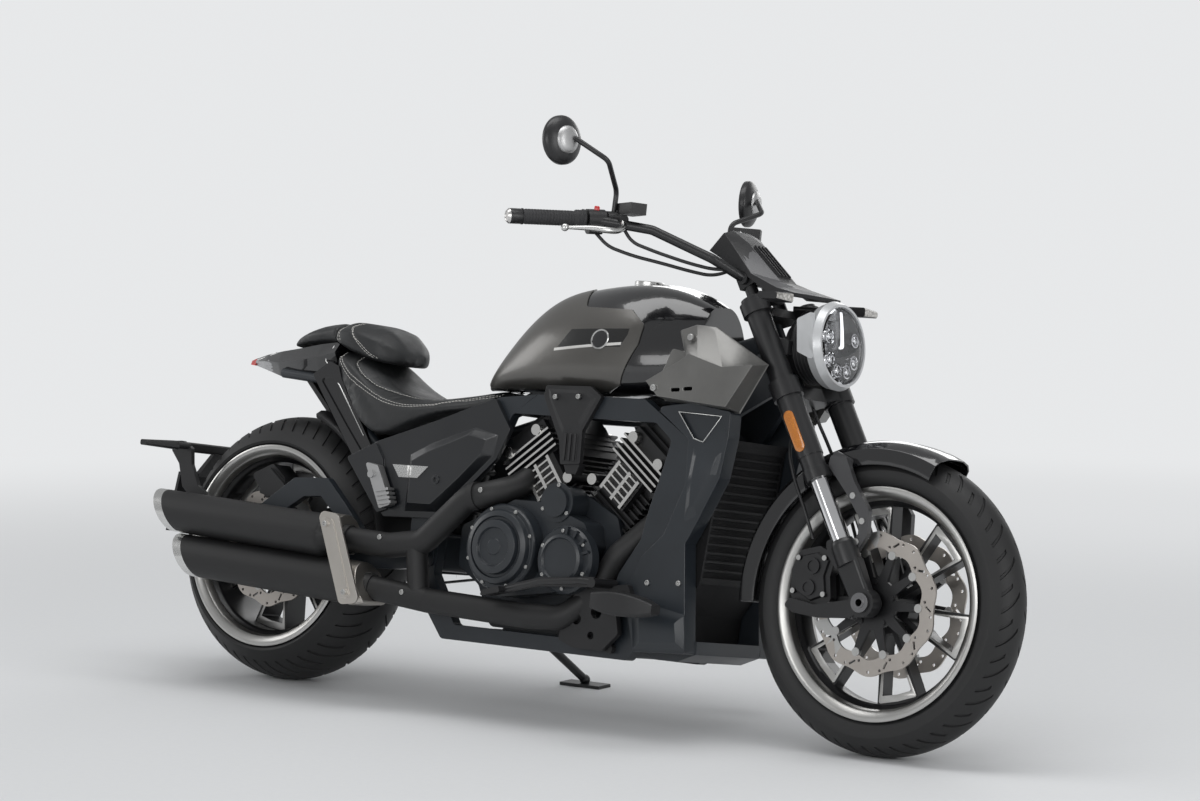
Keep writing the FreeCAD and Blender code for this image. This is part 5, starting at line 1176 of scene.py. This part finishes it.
def foam(node, name, cut, floor_height, cap, pressure=4.0):
    """A pad's solid, remeshed and swollen as foam does, but held where it rests."""
    pad = welded_copy(node, name)
    if cut:
        at, joint, ahead = cut
        bpy.ops.mesh.bisect(plane_co=parked @ Vector((at, 0.0, 0.8)), plane_no=(1.0, 0.0, 0.0),
                            use_fill=True, clear_inner=ahead, clear_outer=not ahead)
    in_mode("OBJECT")
    for vertex in pad.data.vertices:
        if cut and abs((stood_up @ vertex.co).x - at) < 0.0002:
            vertex.co.x += joint - at
    modified(pad, "even skin", "REMESH", mode="VOXEL", voxel_size=0.0055)
    modified(pad, "pressed edges", "SMOOTH", factor=0.5, iterations=4)
    start = [v.co.copy() for v in pad.data.vertices]
    cloth = pad.modifiers.new("swelling foam", "CLOTH")
    cloth.settings.use_pressure = True
    cloth.settings.uniform_pressure_force = pressure
    cloth.settings.effector_weights.gravity = 0.0
    cloth.settings.quality = 4
    scene = bpy.context.scene
    for moment in range(1, 21):
        scene.frame_set(moment)
    swollen = pad.evaluated_get(bpy.context.evaluated_depsgraph_get())
    ends = [v.co.copy() for v in swollen.data.vertices]
    pad.modifiers.remove(cloth)
    scene.frame_set(1)
    for vertex, begin, end in zip(pad.data.vertices, start, ends):
        move = end - begin
        if move.length > cap:
            move = move * (cap / move.length)
        rests = max(0.0, min(1.0, ((stood_up @ begin).z - floor_height) / 0.03))
        vertex.co = begin + move * rests
    choose(pad)
    modified(pad, "finer skin", "SUBSURF", levels=1, render_levels=1)
    return pad


def laid_on(pad, lines):
    """Runs along lines of the upright machine in millimetres, each point moved to the nearest leather."""
    tree = skin_of(pad)
    return [[tree.find_nearest(point)[0] for point in dense([bike(*p) for p in line])] for line in lines]


def drawn_in(pad, runs, depth=0.0024, half=0.008):
    """Pulls the leather in along each seam."""
    points = [point for run in runs for point in run]
    seam = KDTree(len(points))
    for index, point in enumerate(points):
        seam.insert(point, index)
    seam.balance()
    normals = [v.normal.copy() for v in pad.data.vertices]
    for vertex, normal in zip(pad.data.vertices, normals):
        near = seam.find(vertex.co)[2]
        if near < half:
            vertex.co = vertex.co - normal * depth * (1.0 - near / half) ** 1.5


def stitched(name, pad, runs, gap=0.0085, long=0.0058, thick=0.0008):
    """Short stitches of thread, laid end to end along each run and proud of the leather."""
    bpy.ops.mesh.primitive_cylinder_add(vertices=6, radius=thick, depth=long)
    one = bpy.context.object
    pick(one, lambda face: abs(face.normal.z) > 0.9)
    bpy.ops.mesh.inset(thickness=thick * 0.4, depth=0.0)
    in_mode("OBJECT")
    tree = skin_of(pad)
    made = []
    for run in runs:
        left_over = 0.0
        for a, b in zip(run, run[1:]):
            step = (b - a).length
            while step > 0.0 and left_over <= step:
                at = a + (b - a) * (left_over / step)
                spot, normal, _, _ = tree.find_nearest(at)
                turn = (b - a).to_track_quat("Z", "Y").to_matrix().to_4x4()
                copy = one.copy()
                copy.data = one.data.copy()
                copy.data.transform(Matrix.Translation(spot + normal * thick * 0.35) @ turn)
                bpy.context.scene.collection.objects.link(copy)
                made.append(copy)
                left_over += gap
            left_over -= step
    bpy.data.objects.remove(one)
    return fitted(joined(name, made), "chassis", "saddle_leather", thread.material, smooth=60.0)


def both_sides(points):
    """A line of the right side and its mirror image on the left."""
    return [points, [(x, -y, z) for x, y, z in points]]


def moved(points, along=0.0, up=0.0, out=0.0):
    """The same line moved ahead, up and away from the middle."""
    return [(x + along, y - out if y < 0.0 else y + out, z + up) for x, y, z in points]


saddle = foam("rider_saddle", "rider_saddle_leather", None, 0.600, 0.006)
outer_seam = [(-700, -98, 822), (-694, -115, 795), (-653, -127, 757), (-589, -138, 726), (-524, -138, 703),
              (-459, -132, 692), (-395, -120, 694), (-340, -98, 706), (-285, -78, 722), (-235, -62, 742),
              (-200, -52, 758)]
inner_seam = [(-652, -78, 805), (-648, -102, 788), (-619, -114, 765), (-576, -110, 738), (-535, -97, 722),
              (-490, -84, 708), (-440, -78, 702), (-390, -80, 702), (-345, -84, 708)]
drawn_in(saddle, laid_on(saddle, both_sides(outer_seam) + both_sides(inner_seam)))
fitted(saddle, "chassis", "saddle_leather", leather.material, smooth=70.0)
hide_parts("rider_saddle")
seams = (both_sides(moved(outer_seam, 0.0, 3.4, -1.5)) + both_sides(moved(outer_seam, 0.0, -3.4, 1.5))
         + both_sides(inner_seam))
stitched("rider_saddle_stitching", saddle, laid_on(saddle, seams))

hump = foam("passenger_pads", "passenger_hump_leather", (-0.7275, -0.7300, True), 0.775, 0.005)
# The stretch ahead of this place is drawn back, because the real hump ends before its solid does.
front_from = -0.600
front_share = 0.62
for vertex in hump.data.vertices:
    spot = stood_up @ vertex.co
    if spot.x > front_from:
        spot.x = front_from + (spot.x - front_from) * front_share
        vertex.co = parked @ spot
pad = foam("passenger_pads", "passenger_pad_leather", (-0.7345, -0.7318, False), 0.790, 0.004)
hump_seam = [(-676, -62, 884), (-690, -80, 872), (-668, -98, 850), (-645, -104, 832), (-620, -101, 812),
             (-600, -97, 800)]
across = [(-718, -104, 842), (-722, -84, 868), (-724, -55, 880), (-724, 0, 886), (-724, 55, 880),
          (-722, 84, 868), (-718, 104, 842)]
drawn_in(hump, laid_on(hump, both_sides(hump_seam) + [across]))
for piece in (hump, pad):
    fitted(piece, "chassis", "saddle_leather", leather.material, smooth=70.0)
    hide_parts("passenger_pads")
seams = both_sides(moved(hump_seam, -3.0)) + both_sides(moved(hump_seam, 3.0))
seams += [moved(across, -3.2), moved(across, 3.2)]
stitched("passenger_pad_stitching", hump, laid_on(hump, seams))

# Tail fairing, tail light, rear mudguard and plate carrier
# The gloss black tail has a bright edge strip down each strut and along its upper edge. A red lens
# closes the tip over a grey reflector, and a matte carrier holds the bare plate board behind.

tail_grey = lens_plastic("rear reflector", (0.30, 0.30, 0.31), 0.25, 0.2, 220.0,
                         (0.24, 0.24, 0.25), (0.42, 0.42, 0.43), 0.0003, 0.5, coat_weight=0.8)
red_lens = lens_plastic("red lens", (0.60, 0.015, 0.010), 0.1, 0.0, 300.0, (0.75, 0.03, 0.02),
                        (0.35, 0.008, 0.006), 0.0004, 0.6, coat_weight=1.0, coat_roughness=0.02)


def reflector_face(spot, normal):
    """The grey faces low on both sides of the tip."""
    return 1 if spot.x < -0.958 and spot.z < 0.7815 and abs(normal.y) > 0.25 else 0


dressed("tail_fairing", "tail_fairing_moulded", "chassis",
        [gloss_black, tail_grey], 0.0014, reflector_face, segments=3)
dressed("tail_light", "tail_light_lens", "chassis", [red_lens], 0.001)
strut_line = [(-729, -99, 826), (-749, -103.5, 789), (-713, -115, 757), (-679, -122.5, 727),
              (-632, -122.5, 667), (-588, -122.5, 611)]
upper_line = [(-1031, -36.5, 782), (-988, -50, 791), (-947, -62.5, 801)]
strips = [edge_strip("tail_strip", line) for line in both_sides(strut_line) + both_sides(upper_line)]
fitted(joined("tail_edge_strips", strips), "chassis", "machined_alloy", silver_trim, smooth=60.0)


def rear_lens(spot, normal):
    """The back faces of the two rear indicators."""
    return 1 if spot.z > 0.53 and abs(spot.y) > 0.20 and normal.x < -0.7 else 0


dressed("rear_mudguard", "rear_mudguard_moulded", "chassis", [matte_plastic], 0.001)
dressed("plate_carrier", "plate_carrier_moulded", "chassis",
        [matte_plastic, lens_face], 0.001, rear_lens)

# Foot pegs, pedal, gear lever, passenger pegs and side stand
# Cast brackets and ribbed pegs in matte black with a bright line on top, forged levers, folded
# passenger pegs in cast aluminium, and a steel stand with a flat foot.


def peg_top(spot, normal):
    """The flat top of each rider's peg."""
    return 1 if normal.z > 0.9 and spot.z > 0.318 and abs(spot.y) > 0.19 else 0


dressed("footrests", "footrests_cast", "chassis", [matte_plastic, silver_trim], 0.0012,
        peg_top)
dressed("brake_pedal", "brake_pedal_forged", "chassis", [black_satin], 0.001)
dressed("gear_lever", "gear_lever_forged", "chassis", [black_satin], 0.001)
cast_silver = bare_metal("cast aluminium", (0.50, 0.50, 0.50), 0.38)
dressed("passenger_pegs", "passenger_pegs_cast", "chassis", [cast_silver], 0.001)
dressed("side_stand", "side_stand_welded", "side_stand", [black_satin], 0.001)

# Studio
# A pale floor that fades into the pale air behind it, wide soft lamps overhead, in front and behind,
# and the camera, which stands right of the machine and ahead of it at about saddle height.

pale_air = (0.80, 0.81, 0.82)
seen_air = 1.0
lighting_air = 0.52
fade_from = 1.7
fade_to = 6.0
bpy.ops.mesh.primitive_plane_add(size=400.0, location=(0.0, 0.0, 0.0))
floor = bpy.context.object
floor.name = "studio_floor"
pale = Coat("studio floor", (0.72, 0.73, 0.74), 0.85)
pale.set("Base Color", pale.mixed(pale.noise(60.0, 3.0), (0.71, 0.72, 0.73), (0.74, 0.75, 0.76)))
away = pale.node("ShaderNodeVectorMath", {"operation": "LENGTH"}, out=1, i0=pale.place())
far = pale.node("ShaderNodeMapRange", {"interpolation_type": "SMOOTHSTEP"}, i0=away, i1=fade_from,
                i2=fade_to, i3=0.0, i4=1.0)
glow = pale.node("ShaderNodeEmission", Color=pale_air, Strength=seen_air)
surface = pale.node("ShaderNodeMixShader", i0=far, i1=Port(pale, pale.shader.outputs[0]), i2=glow)
pale.tree.links.new(surface.socket, pale.tree.nodes["Material Output"].inputs["Surface"])
floor.data.materials.append(pale.material)

world = bpy.data.worlds.new("studio air")
world.use_nodes = True
bpy.context.scene.world = world
air = world.node_tree.nodes["Background"]
air.inputs["Color"].default_value = (*pale_air, 1.0)
path = world.node_tree.nodes.new("ShaderNodeLightPath")
level = world.node_tree.nodes.new("ShaderNodeMapRange")
world.node_tree.links.new(path.outputs["Is Camera Ray"], level.inputs[0])
level.inputs[3].default_value = lighting_air
level.inputs[4].default_value = seen_air
world.node_tree.links.new(level.outputs[0], air.inputs["Strength"])


def softbox(name, spot, aim_height, width, height, power):
    """A wide soft lamp that looks at the machine and isn't seen itself."""
    bpy.ops.object.light_add(type="AREA", location=spot)
    lamp = bpy.context.object
    lamp.name = name
    lamp.data.shape = "RECTANGLE"
    lamp.data.size = width
    lamp.data.size_y = height
    lamp.data.energy = power
    lamp.visible_camera = False
    aim = Vector((0.0, 0.0, aim_height)) - Vector(spot)
    lamp.rotation_euler = aim.to_track_quat("-Z", "Y").to_euler()


softbox("top_lamp", (0.2, -0.4, 3.9), 0.4, 4.2, 1.6, 62.0)
softbox("side_lamp", (1.2, -5.0, 2.0), 0.6, 4.4, 1.5, 62.0)
softbox("front_lamp", (5.0, -0.6, 1.8), 0.7, 1.4, 2.6, 42.0)
softbox("far_side_lamp", (-1.0, 4.6, 2.2), 0.6, 4.0, 1.5, 42.0)
softbox("rear_lamp", (-4.8, -1.2, 2.0), 0.6, 1.4, 2.2, 30.0)

azimuth = math.radians(36.927)
elevation = math.radians(5.237)
target = Vector((0.1221, -0.182, 0.7468))
camera_away = 8.642
level_out = math.cos(elevation)
toward = Vector((math.sin(azimuth) * level_out, -math.cos(azimuth) * level_out, math.sin(elevation)))
bpy.ops.object.camera_add(location=target + toward * camera_away)
camera = bpy.context.object
camera.rotation_euler = (-toward).to_track_quat("-Z", "Y").to_euler()
camera.data.lens = 112.58
camera.data.sensor_width = 36.0
bpy.context.scene.camera = camera
bpy.context.scene.view_settings.view_transform = "Standard"
